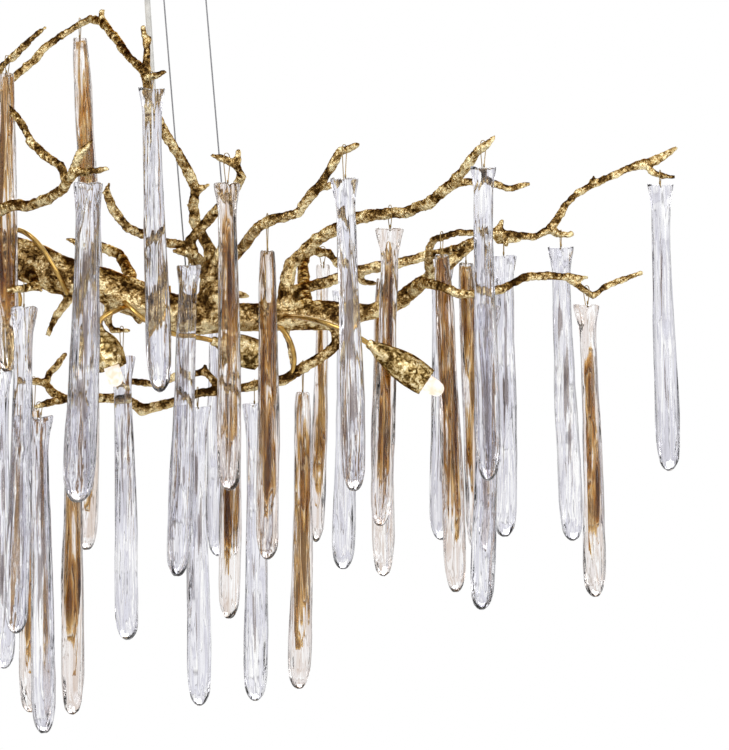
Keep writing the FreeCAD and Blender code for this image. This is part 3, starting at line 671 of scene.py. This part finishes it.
@dataclass(frozen=True)
class LitGlass(Finish):
    """A lit lamp's frosted glass, warm with whiter patches."""

    glow: Colour = (1.0, 0.78, 0.58)
    white: Colour = (1.0, 0.97, 0.92)
    unlit: Colour = (0.16, 0.13, 0.11)
    strength: float = 0.95

    def lay(self, tree: bpy.types.NodeTree, shader: bpy.types.Node) -> None:
        """Lay glowing frosted glass.

        Args:
            tree: the material's node tree.
            shader: its Principled BSDF.
        """
        bench = NodeBench(tree)
        cloud = bench.add("TexNoise", Vector=bench.place(), Scale=160.0, Detail=1.0)
        warm = bench.ramp(cloud.outputs["Fac"], [(0.35, self.glow), (0.62, self.white)])
        bench.feed(shader.inputs["Emission Color"], warm)
        shader.inputs["Base Color"].default_value = (*self.unlit, 1.0)
        shader.inputs["Roughness"].default_value = 0.4
        shader.inputs["Emission Strength"].default_value = self.strength


CAST_BRASS = HammeredMetal("cast_brass")
CUP_BRASS = HammeredMetal("cup_brass", scale=240.0, patch=60.0, depth=0.7, dark=(0.05, 0.027, 0.007),
                          body=(0.28, 0.17, 0.05), bright=(0.74, 0.55, 0.24), rubbed=(1.0, 0.88, 0.58), spread=0.065)
CANOPY_BRASS = HammeredMetal("canopy_brass", dark=(0.30, 0.20, 0.08), body=(0.40, 0.27, 0.11),
                             bright=(0.48, 0.34, 0.15), rubbed=(0.58, 0.43, 0.21), scale=90.0, patch=14.0, spread=0.2,
                             depth=0.05, roughness=(0.36, 0.28))
POLISHED_BRASS = PlainSurface("polished_brass", body=(0.52, 0.33, 0.10), metallic=1.0, roughness=0.18, uneven=0.3)
LOOP_WIRE = PlainSurface("loop_wire", body=(0.34, 0.23, 0.09), metallic=1.0, roughness=0.30)
STEEL_CABLE = PlainSurface("steel_cable", body=(0.20, 0.20, 0.21), metallic=1.0, roughness=0.4, scale=900.0)
CLEAR_FLEX = PlainSurface("clear_flex", body=(0.62, 0.61, 0.58), roughness=0.22)
CERAMIC = PlainSurface("glazed_ceramic", body=(0.86, 0.84, 0.78), roughness=0.25)
PAINTED_STEEL = PlainSurface("painted_steel", body=(0.82, 0.82, 0.80), roughness=0.5, uneven=0.04)
TERMINAL_PLASTIC = PlainSurface("terminal_plastic", body=(0.85, 0.84, 0.80), roughness=0.45, uneven=0.05)
CLEAR_GLASS = DrawnGlass("clear_drop_glass")
WARM_GLASS = DrawnGlass("warm_drop_glass", thread_and_painted_shade=(0.20, 0.12, 0.06), shade=(0.62, 0.50, 0.42),
                        body=(0.84, 0.79, 0.78), painted_edge_shade=(0.18, 0.14, 0.13))
AMBER_CORE = AmberStreaks("amber_core")
FAINT_CORE = AmberStreaks("faint_core", deep=(0.36, 0.30, 0.28), body=(0.58, 0.53, 0.52), gold=(0.74, 0.68, 0.66),
                          pale=(0.95, 0.93, 0.95), open_at=(0.42, 0.44), scale=300.0)
LAMP_GLOW = LitGlass("lit_lamp_glass")


# ---------------------------------------------------------------- the cast bough


@dataclass
class CastBough:
    """The bough and its twigs: one gnarled skin over the trunk's and the branches' solids."""

    nodes: tuple[str, ...] = (
        "trunk",
        "crown_branches_right", "crown_branches_left",
        "front_branches_right", "front_branches_left",
        "outer_branches_right", "outer_branches_left",
        "back_and_lower_branches_right", "back_and_lower_branches_left",
    )
    voxel: float = 1.85 * MM
    smoothing: int = 7
    lump_level: float = 0.46
    lump_size: float = 12 * MM
    lump_depth: float = 2.8 * MM
    grain_size: float = 4.0 * MM
    grain_depth: float = 1.8 * MM
    hollow_depth: float = 0.9 * MM
    # How far upward faces are darkened and downward faces lightened: painted shade and light.
    shade: float = 0.55

    def build(self) -> list[bpy.types.Object]:
        """Cast the bough and part it into two halves at its middle.

        Returns:
            The right half and the left half.
        """
        parts = [solid for node in self.nodes for solid in solids_of(node)]
        skin = joined("cast_bough", parts)
        apply_modifier(skin, "REMESH", mode="VOXEL", voxel_size=self.voxel)
        apply_modifier(skin, "SMOOTH", factor=0.5, iterations=self.smoothing)
        even = copy_at(skin, Matrix.Identity(4))
        self.roughen(skin, "lumps", self.lump_size, self.lump_depth)
        self.roughen(skin, "grain", self.grain_size, self.grain_depth)
        self.mark_patina_and_top_shade(skin, even)
        pick(skin)
        bpy.ops.object.shade_smooth()
        CAST_BRASS.put_on(skin)
        halves = [self.half(skin, "cast_bough_right", -1), self.half(skin, "cast_bough_left", 1)]
        discard(skin)
        for piece, side in zip(halves, ("right", "left")):
            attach(piece, "frame")
            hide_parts("trunk", *(node for node in self.nodes if node.endswith(side)))
        return halves

    def roughen(self, skin: bpy.types.Object, name: str, size: float, depth: float) -> None:
        """Raise lumps of one size over the skin.

        Args:
            skin: the bough's skin.
            name: the lumps' name.
            size: how wide a lump is.
            depth: from the deepest hollow to the highest lump.
        """
        cloud = bpy.data.textures.new(name, "CLOUDS")
        cloud.noise_scale = size
        cloud.noise_depth = 2
        apply_modifier(skin, "DISPLACE", texture=cloud, texture_coords="LOCAL", strength=depth,
                       mid_level=self.lump_level)

    def mark_patina_and_top_shade(self, skin: bpy.types.Object, even: bpy.types.Object) -> None:
        """Note at each point how deep it lies in the hollows, or how high on a ridge, for the finish to follow,
        adding painted shade on upward faces and painted light on downward ones.

        Args:
            skin: the bough's skin.
            even: the same skin before it was roughened, which is used up.
        """
        hollow = skin.data.attributes.new("hollow", "FLOAT", "POINT")
        for point, level, value in zip(skin.data.vertices, even.data.vertices, hollow.data):
            depth = (level.co - point.co).dot(level.normal) / self.hollow_depth
            # Depth into the hollows gives patina; the normal's Z term darkens upward faces and lightens downward
            # ones: painted shade and light.
            value.value = max(-1.0, min(1.0, depth)) + self.shade * point.normal.z
        discard(even)

    def half(self, skin: bpy.types.Object, name: str, away: int) -> bpy.types.Object:
        """Cut a copy of the skin at the bough's middle and keep one side.

        Args:
            skin: the whole skin.
            name: the half's name.
            away: 1 to take away the side towards +X, and -1 the other.

        Returns:
            The half.
        """
        twin = copy_at(skin, Matrix.Identity(4))
        twin.name = name
        with editing(twin):
            bpy.ops.mesh.bisect(plane_co=(0, 0, 0), plane_no=(away, 0, 0), clear_outer=True)
        return twin


# ---------------------------------------------------------------- the glass drops


class DropStyle(Enum):
    """How a drop was drawn, with its mouth's radius in the CAD part in millimetres."""

    CLEAR = 12.5
    AMBER = 6.8
    WIDE = 15.0
    SLIM = 7.5
    FLARED = 12.0


class Tint(Enum):
    """How much colour runs through a drop."""

    OPEN = "open"
    FAINT = "faint"
    AMBER = "amber"


def drawn(mouth: Sequence[Row], body: Sequence[float]) -> tuple[Row, ...]:
    """A drop's outline in millimetres: how far down each ring is, and its radius.

    Args:
        mouth: the rings of the mouth and the neck.
        body: the radii of the rings below them, which lie at the same levels in every drop.

    Returns:
        All of its rings.
    """
    return (*mouth, *zip((45, 90, 140, 190, 235, 262, 276, 287, 294, 298, 300), body))


@dataclass
class DropMaker:
    """Makes the patterns from which every hanging drop is copied."""

    sides: int = 28
    core_sides: int = 16
    length: float = 300 * MM
    variants: int = 4
    shapes: dict[DropStyle, tuple[Row, ...]] = field(default_factory=lambda: {
        DropStyle.CLEAR: drawn(((0.0, 11.2), (0.6, 12.2), (2.5, 12.3), (10, 11.2), (18, 9.7), (27, 8.9)),
                               (8.8, 9.7, 10.4, 11.3, 12.2, 12.5, 11.9, 10.4, 8.2, 5.2, 1.6)),
        DropStyle.AMBER: drawn(((0.0, 5.8), (0.8, 6.6), (4, 6.8), (12, 7.4), (24, 8.3)),
                               (8.7, 9.3, 10.1, 10.9, 11.6, 11.9, 11.2, 9.8, 7.6, 4.8, 1.5)),
        DropStyle.WIDE: drawn(((0.0, 11.0), (0.7, 12.1), (2.8, 12.4), (10, 12.0), (18, 11.5), (27, 11.2)),
                              (11.5, 12.3, 13.2, 14.4, 15.4, 15.8, 15.0, 13.0, 10.1, 6.2, 1.9)),
        DropStyle.SLIM: drawn(((0.0, 6.4), (0.8, 7.3), (4, 7.5), (14, 6.7), (27, 6.0)),
                              (6.2, 6.8, 7.4, 8.0, 8.5, 8.8, 8.4, 7.2, 5.5, 3.4, 1.1)),
        DropStyle.FLARED: drawn(((0.0, 11.8), (0.6, 12.7), (2.5, 12.8), (10, 11.2), (18, 9.3), (27, 8.2)),
                                (8.2, 8.9, 9.6, 10.3, 11.0, 11.3, 10.8, 9.4, 7.4, 4.6, 1.5)),
    })
    full_core: tuple[Row, ...] = ((2, 0.5), (3, 0.60), (10, 0.66), (30, 0.62), (70, 0.56), (120, 0.55),
                                  (170, 0.54), (210, 0.50), (232, 0.42), (250, 0.28), (262, 0.08))
    late_core: tuple[Row, ...] = ((14, 0.20), (16, 0.30), (30, 0.42), (80, 0.50), (120, 0.53), (170, 0.54),
                                  (212, 0.50), (234, 0.42), (252, 0.26), (264, 0.06))
    core_widths: dict[Tint, float] = field(default_factory=lambda: {
        Tint.OPEN: 0.20, Tint.FAINT: 0.50, Tint.AMBER: 1.0})
    flared_core_width: float = 0.8
    fine_grooves: Grooves = (4.5 * MM, 2.2 * MM, 16)
    broad_grooves: Grooves = (14 * MM, 2.6 * MM, 4)
    core_groove_width: float = 3.5 * MM
    core_groove_stretch: float = 16
    thin_from: float = 215
    thin_run: float = 45
    bend: float = 3.0 * MM
    tail_reach: float = 30 * MM
    lip_depth: float = 5 * MM

    def glass(self, style: DropStyle, tint: Tint, variant: int) -> bpy.types.Object:
        """Model one pattern drop, its top at the origin and its length downwards.

        Args:
            style: how it was drawn.
            tint: how much colour runs through it.
            variant: which of the differently grooved patterns.

        Returns:
            The pattern.
        """
        rows = [(-down * MM, radius * MM) for down, radius in self.shapes[style]]
        drop = turned(f"drop_{style.name.lower()}_{variant}", rows, self.sides)
        apply_modifier(drop, "SUBSURF", levels=1, render_levels=1)
        press_grooves(drop, variant, *self.fine_grooves)
        press_grooves(drop, variant + 9, *self.broad_grooves)
        if style not in (DropStyle.AMBER, DropStyle.SLIM):
            self.fishtail(drop, variant)
        self.sway(drop, variant)
        (WARM_GLASS if tint is Tint.AMBER else CLEAR_GLASS).put_on(drop)
        return drop

    def core(self, style: DropStyle, tint: Tint, variant: int) -> bpy.types.Object:
        """Model the coloured core inside a pattern drop.

        Args:
            style: how the drop was drawn.
            tint: how much colour runs through it.
            variant: which of the patterns.

        Returns:
            The core's pattern.
        """
        wide = self.flared_core_width if style is DropStyle.FLARED else self.core_widths[tint]
        shares = self.full_core if style is DropStyle.AMBER else self.late_core
        rows = [(-down * MM, self.radius_at(style, down) * share * wide * MM) for down, share in shares]
        core = turned(f"core_{style.name.lower()}_{variant}", rows, self.core_sides)
        apply_modifier(core, "SUBSURF", levels=1, render_levels=1)
        depth = (2.4 if tint is Tint.AMBER else 1.6) * MM
        press_grooves(core, variant + 5, self.core_groove_width, depth, self.core_groove_stretch)
        full_from = 4 if style is DropStyle.AMBER else 62
        thin = core.data.attributes.new("thin", "FLOAT", "POINT")
        for vertex, value in zip(core.data.vertices, thin.data):
            down = -vertex.co.z / MM
            value.value = max(0.0, 2.2 * (1 - down / full_from)) + max(0.0, (down - self.thin_from) / self.thin_run)
        self.sway(core, variant)
        (AMBER_CORE if tint is Tint.AMBER else FAINT_CORE).put_on(core)
        return core

    def radius_at(self, style: DropStyle, down: float) -> float:
        """Read a drawn drop's radius off its outline.

        Args:
            style: how it was drawn.
            down: how far below its top, in millimetres.

        Returns:
            The radius there, in millimetres.
        """
        rows = self.shapes[style]
        for (above, wide), (below, narrow) in zip(rows, rows[1:]):
            if above <= down <= below:
                return wide + (narrow - wide) * (down - above) / (below - above)
        return rows[-1][1]

    def fishtail(self, drop: bpy.types.Object, variant: int) -> None:
        """Press a drop's mouth flat into a fishtail with a notch in it.

        Args:
            drop: the pattern.
            variant: which of the patterns.
        """
        notch = (1.5 + 1.2 * (variant % 3)) * MM
        half_mouth, flare, flatness, fullness, ripple = 14 * MM, 0.13, 0.52, 0.22, 0.8 * MM
        for vertex in drop.data.vertices:
            place = vertex.co
            if place.z < -self.tail_reach:
                continue
            press = (1 + place.z / self.tail_reach) ** 1.1
            across = abs(place.x) / half_mouth
            place.x *= 1 + flare * press
            place.y *= 1 - press * (flatness - fullness * min(1.0, across))
            if place.z > -self.lip_depth:
                place.z -= notch * max(0.0, 1 - across * 1.6) - ripple * math.sin(across * 5 + variant)

    def sway(self, drop: bpy.types.Object, variant: int) -> None:
        """Bend a drop a little along its length.

        Args:
            drop: the pattern.
            variant: which bend.
        """
        for vertex in drop.data.vertices:
            down = min(1.0, max(0.0, -vertex.co.z / self.length))
            lean = math.sin(math.pi * down) * self.bend
            twist = 2.1 * variant + 1.3 * down
            vertex.co.x += lean * math.cos(twist) * 0.5
            vertex.co.y += lean * math.sin(twist) * 0.5


@dataclass
class HangingDrops:
    """All the glass drops, each on a loop of wire over its twig."""

    maker: DropMaker = field(default_factory=DropMaker)
    wire_radius: float = 0.45 * MM
    leg_gap: float = 2.2 * MM
    wire_band: float = 1.7 * MM
    loop_spread: float = 1.38
    least_drop: float = 0.2
    rim_depth: float = 2e-4
    level_depth: float = 1e-4
    turn_step: float = 2.4
    crimp_rows: tuple[Row, ...] = ((0, 0.5), (0.4, 0.9), (3.0, 0.9), (3.4, 0.5))
    crimp_sides: int = 8
    crimp_up: float = 3.6 * MM
    coloured: tuple[tuple[str, int], ...] = (("fork", 0),)
    made: int = 0

    def build(self) -> list[bpy.types.Object]:
        """Hang every set of drops.

        Returns:
            The sets' glass, cores and loops.
        """
        built = []
        patterns = {}
        for node in sorted(n for n in frame["nodes"] if n.startswith("drops_")):
            built += self.hang(node, patterns)
        discard(*(piece for pair in patterns.values() for piece in pair))
        return built

    def hang(self, node: str, patterns: dict) -> list[bpy.types.Object]:
        """Hang one swinging set.

        Args:
            node: the set's CAD node.
            patterns: the glass and core patterns made so far, by style, tint and variant.

        Returns:
            The set's three pieces.
        """
        solids = solids_of(node)
        tall = [s for s in solids if s.dimensions.z > self.least_drop]
        loops = [s for s in solids if s.dimensions.z <= self.least_drop]
        drops, inside = [], []
        for order, solid in enumerate(sorted(tall, key=lambda s: abs(middle_of(points_of(s)).x))):
            top, foot, mouth = self.measure(solid)
            style = min(DropStyle, key=lambda s: abs(s.value * MM - mouth))
            look = style, self.tint_of(node, order, style), self.made % self.maker.variants
            if look not in patterns:
                patterns[look] = self.maker.glass(*look), self.maker.core(*look)
            turn = 0.5 * math.sin(self.made * self.turn_step) + math.pi * (self.made % 2)
            place = self.place_of(top, foot, turn)
            drops.append(copy_at(patterns[look][0], place))
            inside.append(copy_at(patterns[look][1], place))
            self.made += 1
        wires = [self.loop(solid) for solid in loops]
        discard(*solids)
        short = node.removeprefix("drops_")
        pieces = [joined("glass_" + short, drops), joined("cores_" + short, inside), joined("loops_" + short, wires)]
        body = frame["nodes"][node]["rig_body"]
        for piece in pieces:
            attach(piece, body)
        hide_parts(node)
        return pieces

    def tint_of(self, node: str, order: int, style: DropStyle) -> Tint:
        """How much colour runs through a drop.

        Args:
            node: its set's CAD node.
            order: its number in the set, from the middle of the chandelier outwards.
            style: how it was drawn.

        Returns:
            Its tint.
        """
        name = node.removeprefix("drops_").rpartition("_")[0]
        if (name, order) in self.coloured or style in (DropStyle.AMBER, DropStyle.SLIM, DropStyle.FLARED):
            return Tint.AMBER
        return Tint.OPEN if self.made % 3 == 0 else Tint.FAINT

    def measure(self, solid: bpy.types.Object) -> tuple[Vector, Vector, float]:
        """Read a drop's top, foot and mouth radius from its solid.

        Args:
            solid: the drop's CAD solid.

        Returns:
            The middle of its top, the middle of its foot, and its mouth's radius.
        """
        rim, toe = ends_of(points_of(solid), self.rim_depth)
        spread = max((c - middle_of(rim)).length for c in rim)
        outer = [c for c in rim if (c - middle_of(rim)).length > spread * 0.6]
        return middle_of(outer), middle_of(toe), spread

    def place_of(self, top: Vector, foot: Vector, turn: float) -> Matrix:
        """Where a pattern drop goes so that it fills its solid.

        Args:
            top: the middle of the solid's top.
            foot: the middle of the solid's foot.
            turn: how far the pattern is turned about its length.

        Returns:
            The place, with the drop's length and lean.
        """
        length = top.z - foot.z
        lean = Matrix.Identity(4)
        lean[0][2] = (top.x - foot.x) / length
        lean[1][2] = (top.y - foot.y) / length
        stretch = Matrix.Diagonal((1.0, 1.0, length / self.maker.length, 1.0))
        return Matrix.Translation(top) @ lean @ stretch @ Matrix.Rotation(turn, 4, "Z")

    def loop(self, solid: bpy.types.Object) -> bpy.types.Object:
        """Bend one wire loop: over the twig and down into the glass on two legs.

        Args:
            solid: the loop's CAD solid.

        Returns:
            The wire.
        """
        corners = points_of(solid)
        first = max(corners, key=lambda c: (c - corners[0]).xy.length)
        second = max(corners, key=lambda c: (c - first).xy.length)
        side = (second - first).xy.to_3d()
        half = side.length / 2
        side.normalize()
        level = [c for c in corners if abs(c.z - first.z) < self.level_depth]
        middle = Vector((*middle_of(level).xy, first.z))
        arc = (half - self.wire_band) / self.loop_spread
        low = min(c.z for c in corners) - middle.z
        rows = [(-self.leg_gap * 0.8, low), (-self.leg_gap, low + 4.5 * MM), (-arc * 0.8, -arc * 1.1),
                (-arc * 1.05, 0), (-arc * 0.75, arc * 0.92), (0, arc * 1.06)]
        rows += [(-a, b) for a, b in reversed(rows[:-1])]
        points = [middle + side * a + Vector((0, 0, b)) for a, b in rows]
        wire = as_mesh(smooth_line("wire_loop", points, self.wire_radius, order=4))
        crimp = turned("crimp", [(up * MM, radius * MM) for up, radius in self.crimp_rows],
                       self.crimp_sides)
        crimp.data.transform(Matrix.Translation(middle + side * self.leg_gap + Vector((0, 0, low + self.crimp_up))))
        whole = joined("wire_loop", [wire, crimp])
        LOOP_WIRE.put_on(whole)
        return whole


# ---------------------------------------------------------------- conduits and lamps


@dataclass(frozen=True)
class Lamp:
    """A lamp: its conduit's route out of the bough, and its cup's length and mouth radius."""

    route: tuple[Place, ...]
    length: float
    mouth: float


@dataclass
class Lamps:
    """Polished conduits with a hammered cup, a ceramic holder and a lit bulb on each."""

    lamps: tuple[Lamp, ...] = (
        Lamp(((234, -12, -406), (226, -34, -410), (214, -44, -416), (206, -47, -424), (209, -48, -433)), 44, 17.0),
        Lamp(((226, -12, -398), (234, -26, -405), (250, -32, -420), (276, -33, -434), (297, -32, -437),
              (313, -28, -439), (325, -24, -443)), 50, 16.5),
        Lamp(((389, -8, -416), (400, -36, -417), (418, -66, -420), (440, -82, -427), (461, -86, -436),
              (479, -86, -448)), 68, 15.5),
        Lamp(((112, -6, -366), (121, -27, -386), (128, -23, -397), (125, -12, -410), (115, -6, -427)), 48, 16.0),
    )
    spare_routes: tuple[tuple[Place, ...], ...] = (
        ((112, -6, -336), (121, -18, -329), (135, -28, -334), (148, -31, -346), (158, -30, -362), (168, -26, -379),
         (173, -12, -394)),
        ((384, -6, -426), (392, -8, -434), (398, -5, -448), (400, 4, -462), (397, 13, -473)),
    )
    conduit_radius: float = 2.6 * MM
    socket_depth: float = 7 * MM
    wall: float = 1.4 * MM
    cup_sides: int = 28
    dents: Grooves = (7 * MM, 1.5 * MM, 5)
    beating: Grooves = (3.2 * MM, 0.45 * MM, 3)
    bulb_sides: int = 20
    bulb_foot: float = 34 * MM
    bulb_shows: float = 19.0

    def build(self) -> list[bpy.types.Object]:
        """Make the lamps of both halves.

        Returns:
            The conduits, cups and bulbs.
        """
        routes = [lamp.route for lamp in self.lamps] + list(self.spare_routes)
        tubes, cups, bulbs = [], [], []
        for turn in (Matrix.Identity(4), Matrix.Rotation(math.pi, 4, "Z")):
            for route in routes:
                points = [turn @ (Vector(place) * MM) for place in route]
                tubes.append(as_mesh(smooth_line("conduit", points, self.conduit_radius)))
            for lamp in self.lamps:
                place = turn @ self.cup_place(lamp)
                cups.append(self.cup(lamp, place))
                bulbs.append(self.bulb(lamp, place))
        pieces = []
        for name, parts, finish, node, slot in (
                ("conduits_polished", tubes, POLISHED_BRASS, "conduits", "polished_brass"),
                ("cups_hammered", cups, CUP_BRASS, "lamp_cups", "cast_brass"),
                ("bulbs_lit", bulbs, LAMP_GLOW, "bulbs", "lamp_glass")):
            piece = joined(name, parts)
            finish.put_on(piece)
            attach(piece, "frame")
            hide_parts(node)
            pieces.append(piece)
        CERAMIC.put_on(frame["nodes"]["lampholders"])
        return pieces

    def cup_place(self, lamp: Lamp) -> Matrix:
        """Where a cup's neck begins, with Z along the cup.

        Args:
            lamp: the lamp.

        Returns:
            The cup's place.
        """
        tip = Vector(lamp.route[-1]) * MM
        axis = (tip - Vector(lamp.route[-2]) * MM).normalized()
        base = tip - axis * self.socket_depth
        return Matrix.Translation(base) @ axis.to_track_quat("Z", "Y").to_matrix().to_4x4()

    def cup(self, lamp: Lamp, place: Matrix) -> bpy.types.Object:
        """Model one bud-shaped cup with a knotted neck and a thin wall.

        Args:
            lamp: the lamp.
            place: where the cup goes.

        Returns:
            The cup.
        """
        long = lamp.length * MM
        mouth = lamp.mouth * MM
        neck = [(-1.2, 2.9), (-0.8, 4.4), (2.5, 5.2), (4.5, 4.3)]
        outside = [(0.30, 0.68), (0.48, 0.90), (0.68, 1.0), (0.86, 0.97), (1.0, 0.90)]
        inside = [(1.0, 0.90), (0.8, 1.0), (0.6, 0.9)]
        rows = [(up * MM, radius * MM) for up, radius in neck] + [(8.0 * MM, mouth * 0.42)]
        rows += [(long * up, mouth * share) for up, share in outside] + [(long + 0.4 * MM, mouth * 0.87)]
        rows += [(long * up, mouth * share - self.wall) for up, share in inside] + [(18 * MM, 7.8 * MM)]
        cup = turned("lamp_cup", rows, self.cup_sides)
        apply_modifier(cup, "SUBSURF", levels=2, render_levels=2)
        press_grooves(cup, round(lamp.length), *self.dents)
        press_grooves(cup, round(lamp.mouth), *self.beating)
        cup.data.transform(place)
        return cup

    def bulb(self, lamp: Lamp, place: Matrix) -> bpy.types.Object:
        """Model one capsule bulb.

        Args:
            lamp: the lamp.
            place: where its cup goes.

        Returns:
            The bulb.
        """
        end = (lamp.length + self.bulb_shows) * MM
        low = [(-0.6, 3.0), (0, 6.0), (4, 7.7)]
        high = [(9, 7.9), (4, 6.9), (1, 4.4), (0, 1.4)]
        rows = [(self.bulb_foot + up * MM, radius * MM) for up, radius in low]
        rows += [(end - down * MM, radius * MM) for down, radius in high]
        bulb = turned("bulb", rows, self.bulb_sides)
        bulb.data.transform(place)
        return bulb


# ---------------------------------------------------------------- ceiling box and suspension


@dataclass
class CeilingBox:
    """The box against the ceiling and the small fittings, which keep their CAD shapes."""

    finishes: dict[str, Finish] = field(default_factory=lambda: {
        "ceiling_plate": PAINTED_STEEL, "canopy_cover": CANOPY_BRASS, "cover_screws": CANOPY_BRASS,
        "terminal_block": TERMINAL_PLASTIC, "cable_grippers": POLISHED_BRASS, "cable_anchors": POLISHED_BRASS,
        "flex_grip_and_bush": POLISHED_BRASS,
    })

    def build(self) -> list[bpy.types.Object]:
        """Dress the box and its fittings.

        Returns:
            The dressed CAD pieces.
        """
        dressed = []
        for node, finish in self.finishes.items():
            finish.put_on(frame["nodes"][node])
            dressed.append(frame["nodes"][node])
        return dressed


@dataclass
class Suspension:
    """The taut steel cables and the flex, run between the ends of their CAD solids."""

    cable_diameter: float = 1.5 * MM
    flex_diameter: float = 6.0 * MM
    end_depth: float = 1 * MM

    def build(self) -> list[bpy.types.Object]:
        """Run the cables and the flex.

        Returns:
            The lines.
        """
        lines = [self.run(solid, f"cable_{k}", self.cable_diameter, "suspension_cables", STEEL_CABLE)
                 for k, solid in enumerate(self.sorted_solids("suspension_cables"))]
        lines += [self.run(solid, f"flex_{k}", self.flex_diameter, "power_flex", CLEAR_FLEX)
                  for k, solid in enumerate(self.sorted_solids("power_flex"))]
        return lines

    def sorted_solids(self, node: str) -> list[bpy.types.Object]:
        """A node's solids from left to right."""
        return sorted(solids_of(node), key=lambda s: middle_of(points_of(s)).x)

    def run(self, solid: bpy.types.Object, name: str, diameter: float, node: str, finish: Finish) -> bpy.types.Object:
        """Run one taut line from the top of its solid to its foot.

        Args:
            solid: the line's CAD solid.
            name: the line's name.
            diameter: its diameter.
            node: the CAD node it stands for.
            finish: its finish.

        Returns:
            The line.
        """
        top, foot = (middle_of(end) for end in ends_of(points_of(solid), self.end_depth))
        line = smooth_line(name, [top, top.lerp(foot, 0.33), top.lerp(foot, 0.67), foot], diameter / 2)
        finish.put_on(line)
        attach(line, "frame")
        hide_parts(node)
        discard(solid)
        return line


# ---------------------------------------------------------------- floor, light and camera


@dataclass
class Studio:
    """A white studio: pale floor, soft light from all sides, and the photograph's camera."""

    photo_width: float = 729.0
    photo_height: float = 750.0
    camera_distance: float = 3.3
    view_left: float = 0.105
    view_top: float = -0.100
    floor_level: float = -1.35
    floor_radius: float = 4.0
    sensor: float = 36.0
    far: float = 60.0
    softboxes: tuple[tuple[str, Place, float, float], ...] = (
        ("key", (-1.6, -2.6, 1.4), 1.6, 48.0), ("fill", (2.8, -2.2, 0.4), 2.0, 26.0),
        ("back", (0.6, 2.8, 1.2), 2.0, 30.0))
    aim: Place = (0.2, 0, -0.45)
    floor_tone: Colour = (0.93, 0.93, 0.93)
    fade: Row = (0.25, 0.85)
    soft_light: float = 0.7

    def build(self) -> None:
        """Set up everything round the chandelier."""
        self.camera()
        self.lights()
        self.floor()
        self.world()
        bpy.context.scene.view_settings.view_transform = "Standard"

    def camera(self) -> None:
        """Stand the camera where one pixel covers one millimetre at the bough."""
        width = self.photo_width * MM
        height = self.photo_height * MM
        data = bpy.data.cameras.new("camera")
        data.sensor_width = self.sensor
        data.lens = self.sensor * self.camera_distance / max(width, height)
        data.clip_end = self.far
        eye = bpy.data.objects.new("camera", data)
        eye.location = (self.view_left + width / 2, -self.camera_distance, self.view_top - height / 2)
        eye.rotation_euler = (math.pi / 2, 0, 0)
        bpy.context.scene.collection.objects.link(eye)
        bpy.context.scene.camera = eye

    def lights(self) -> None:
        """Hang large soft lights in front, at the sides and behind."""
        for name, place, size, power in self.softboxes:
            data = bpy.data.lights.new(name, "AREA")
            data.energy = power
            data.size = size
            lamp = bpy.data.objects.new(name, data)
            lamp.location = place
            lamp.rotation_euler = (Vector(self.aim) - Vector(place)).to_track_quat("-Z", "Y").to_euler()
            bpy.context.scene.collection.objects.link(lamp)

    def floor(self) -> None:
        """Lay a round pale floor that fades out at its rim."""
        bpy.ops.object.select_all(action="DESELECT")
        bpy.ops.mesh.primitive_circle_add(vertices=64, radius=self.floor_radius, fill_type="NGON",
                                          location=(0, 0, self.floor_level))
        floor = bpy.context.object
        floor.name = "floor"
        paint = bpy.data.materials.new("floor_paint")
        paint.use_nodes = True
        nodes = paint.node_tree.nodes
        shader = nodes["Principled BSDF"]
        shader.inputs["Base Color"].default_value = (*self.floor_tone, 1)
        shader.inputs["Roughness"].default_value = 0.9
        bench = NodeBench(paint.node_tree)
        rays = bench.add("LightPath").outputs
        mirrored = bench.reckon("MAXIMUM", rays["Is Glossy Ray"], rays["Is Transmission Ray"])
        away = bench.add("VectorMath", operation="LENGTH")
        bench.feed(away.inputs[0], bench.place())
        span = tuple(self.floor_radius * share for share in self.fade)
        fade = bench.ranged(away.outputs["Value"], span, (0.0, 1.0), interpolation_type="SMOOTHSTEP")
        white = bench.add("Emission", Strength=1.0)
        bench.blend(bench.reckon("MAXIMUM", mirrored, fade), shader, white, nodes["Material Output"])
        floor.data.materials.append(paint)

    def world(self) -> None:
        """Surround the scene with white that the camera, the metal and the glass see."""
        world = bpy.data.worlds.new("white_studio")
        world.use_nodes = True
        bpy.context.scene.world = world
        nodes = world.node_tree.nodes
        bench = NodeBench(world.node_tree)
        soft = nodes["Background"]
        soft.inputs["Color"].default_value = (1, 1, 1, 1)
        soft.inputs["Strength"].default_value = self.soft_light
        white = bench.add("Background", Color=(1, 1, 1, 1))
        rays = bench.add("LightPath").outputs
        seen = bench.reckon("MAXIMUM", rays["Is Camera Ray"], rays["Is Transmission Ray"])
        bench.blend(bench.reckon("MAXIMUM", seen, rays["Is Glossy Ray"]), soft, white, nodes["World Output"])


# ---------------------------------------------------------------- the whole scene


def main() -> None:
    """Build the chandelier's looks, piece by piece, and the studio round it."""
    logging.basicConfig(level=logging.INFO, format="%(name)s: %(message)s")
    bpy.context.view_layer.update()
    for assembly in (CastBough(), HangingDrops(), Lamps(), CeilingBox(), Suspension()):
        pieces = assembly.build()
        LOG.info("%s: %d pieces", type(assembly).__name__, len(pieces))
    Studio().build()


if __name__ == "__main__":
    main()
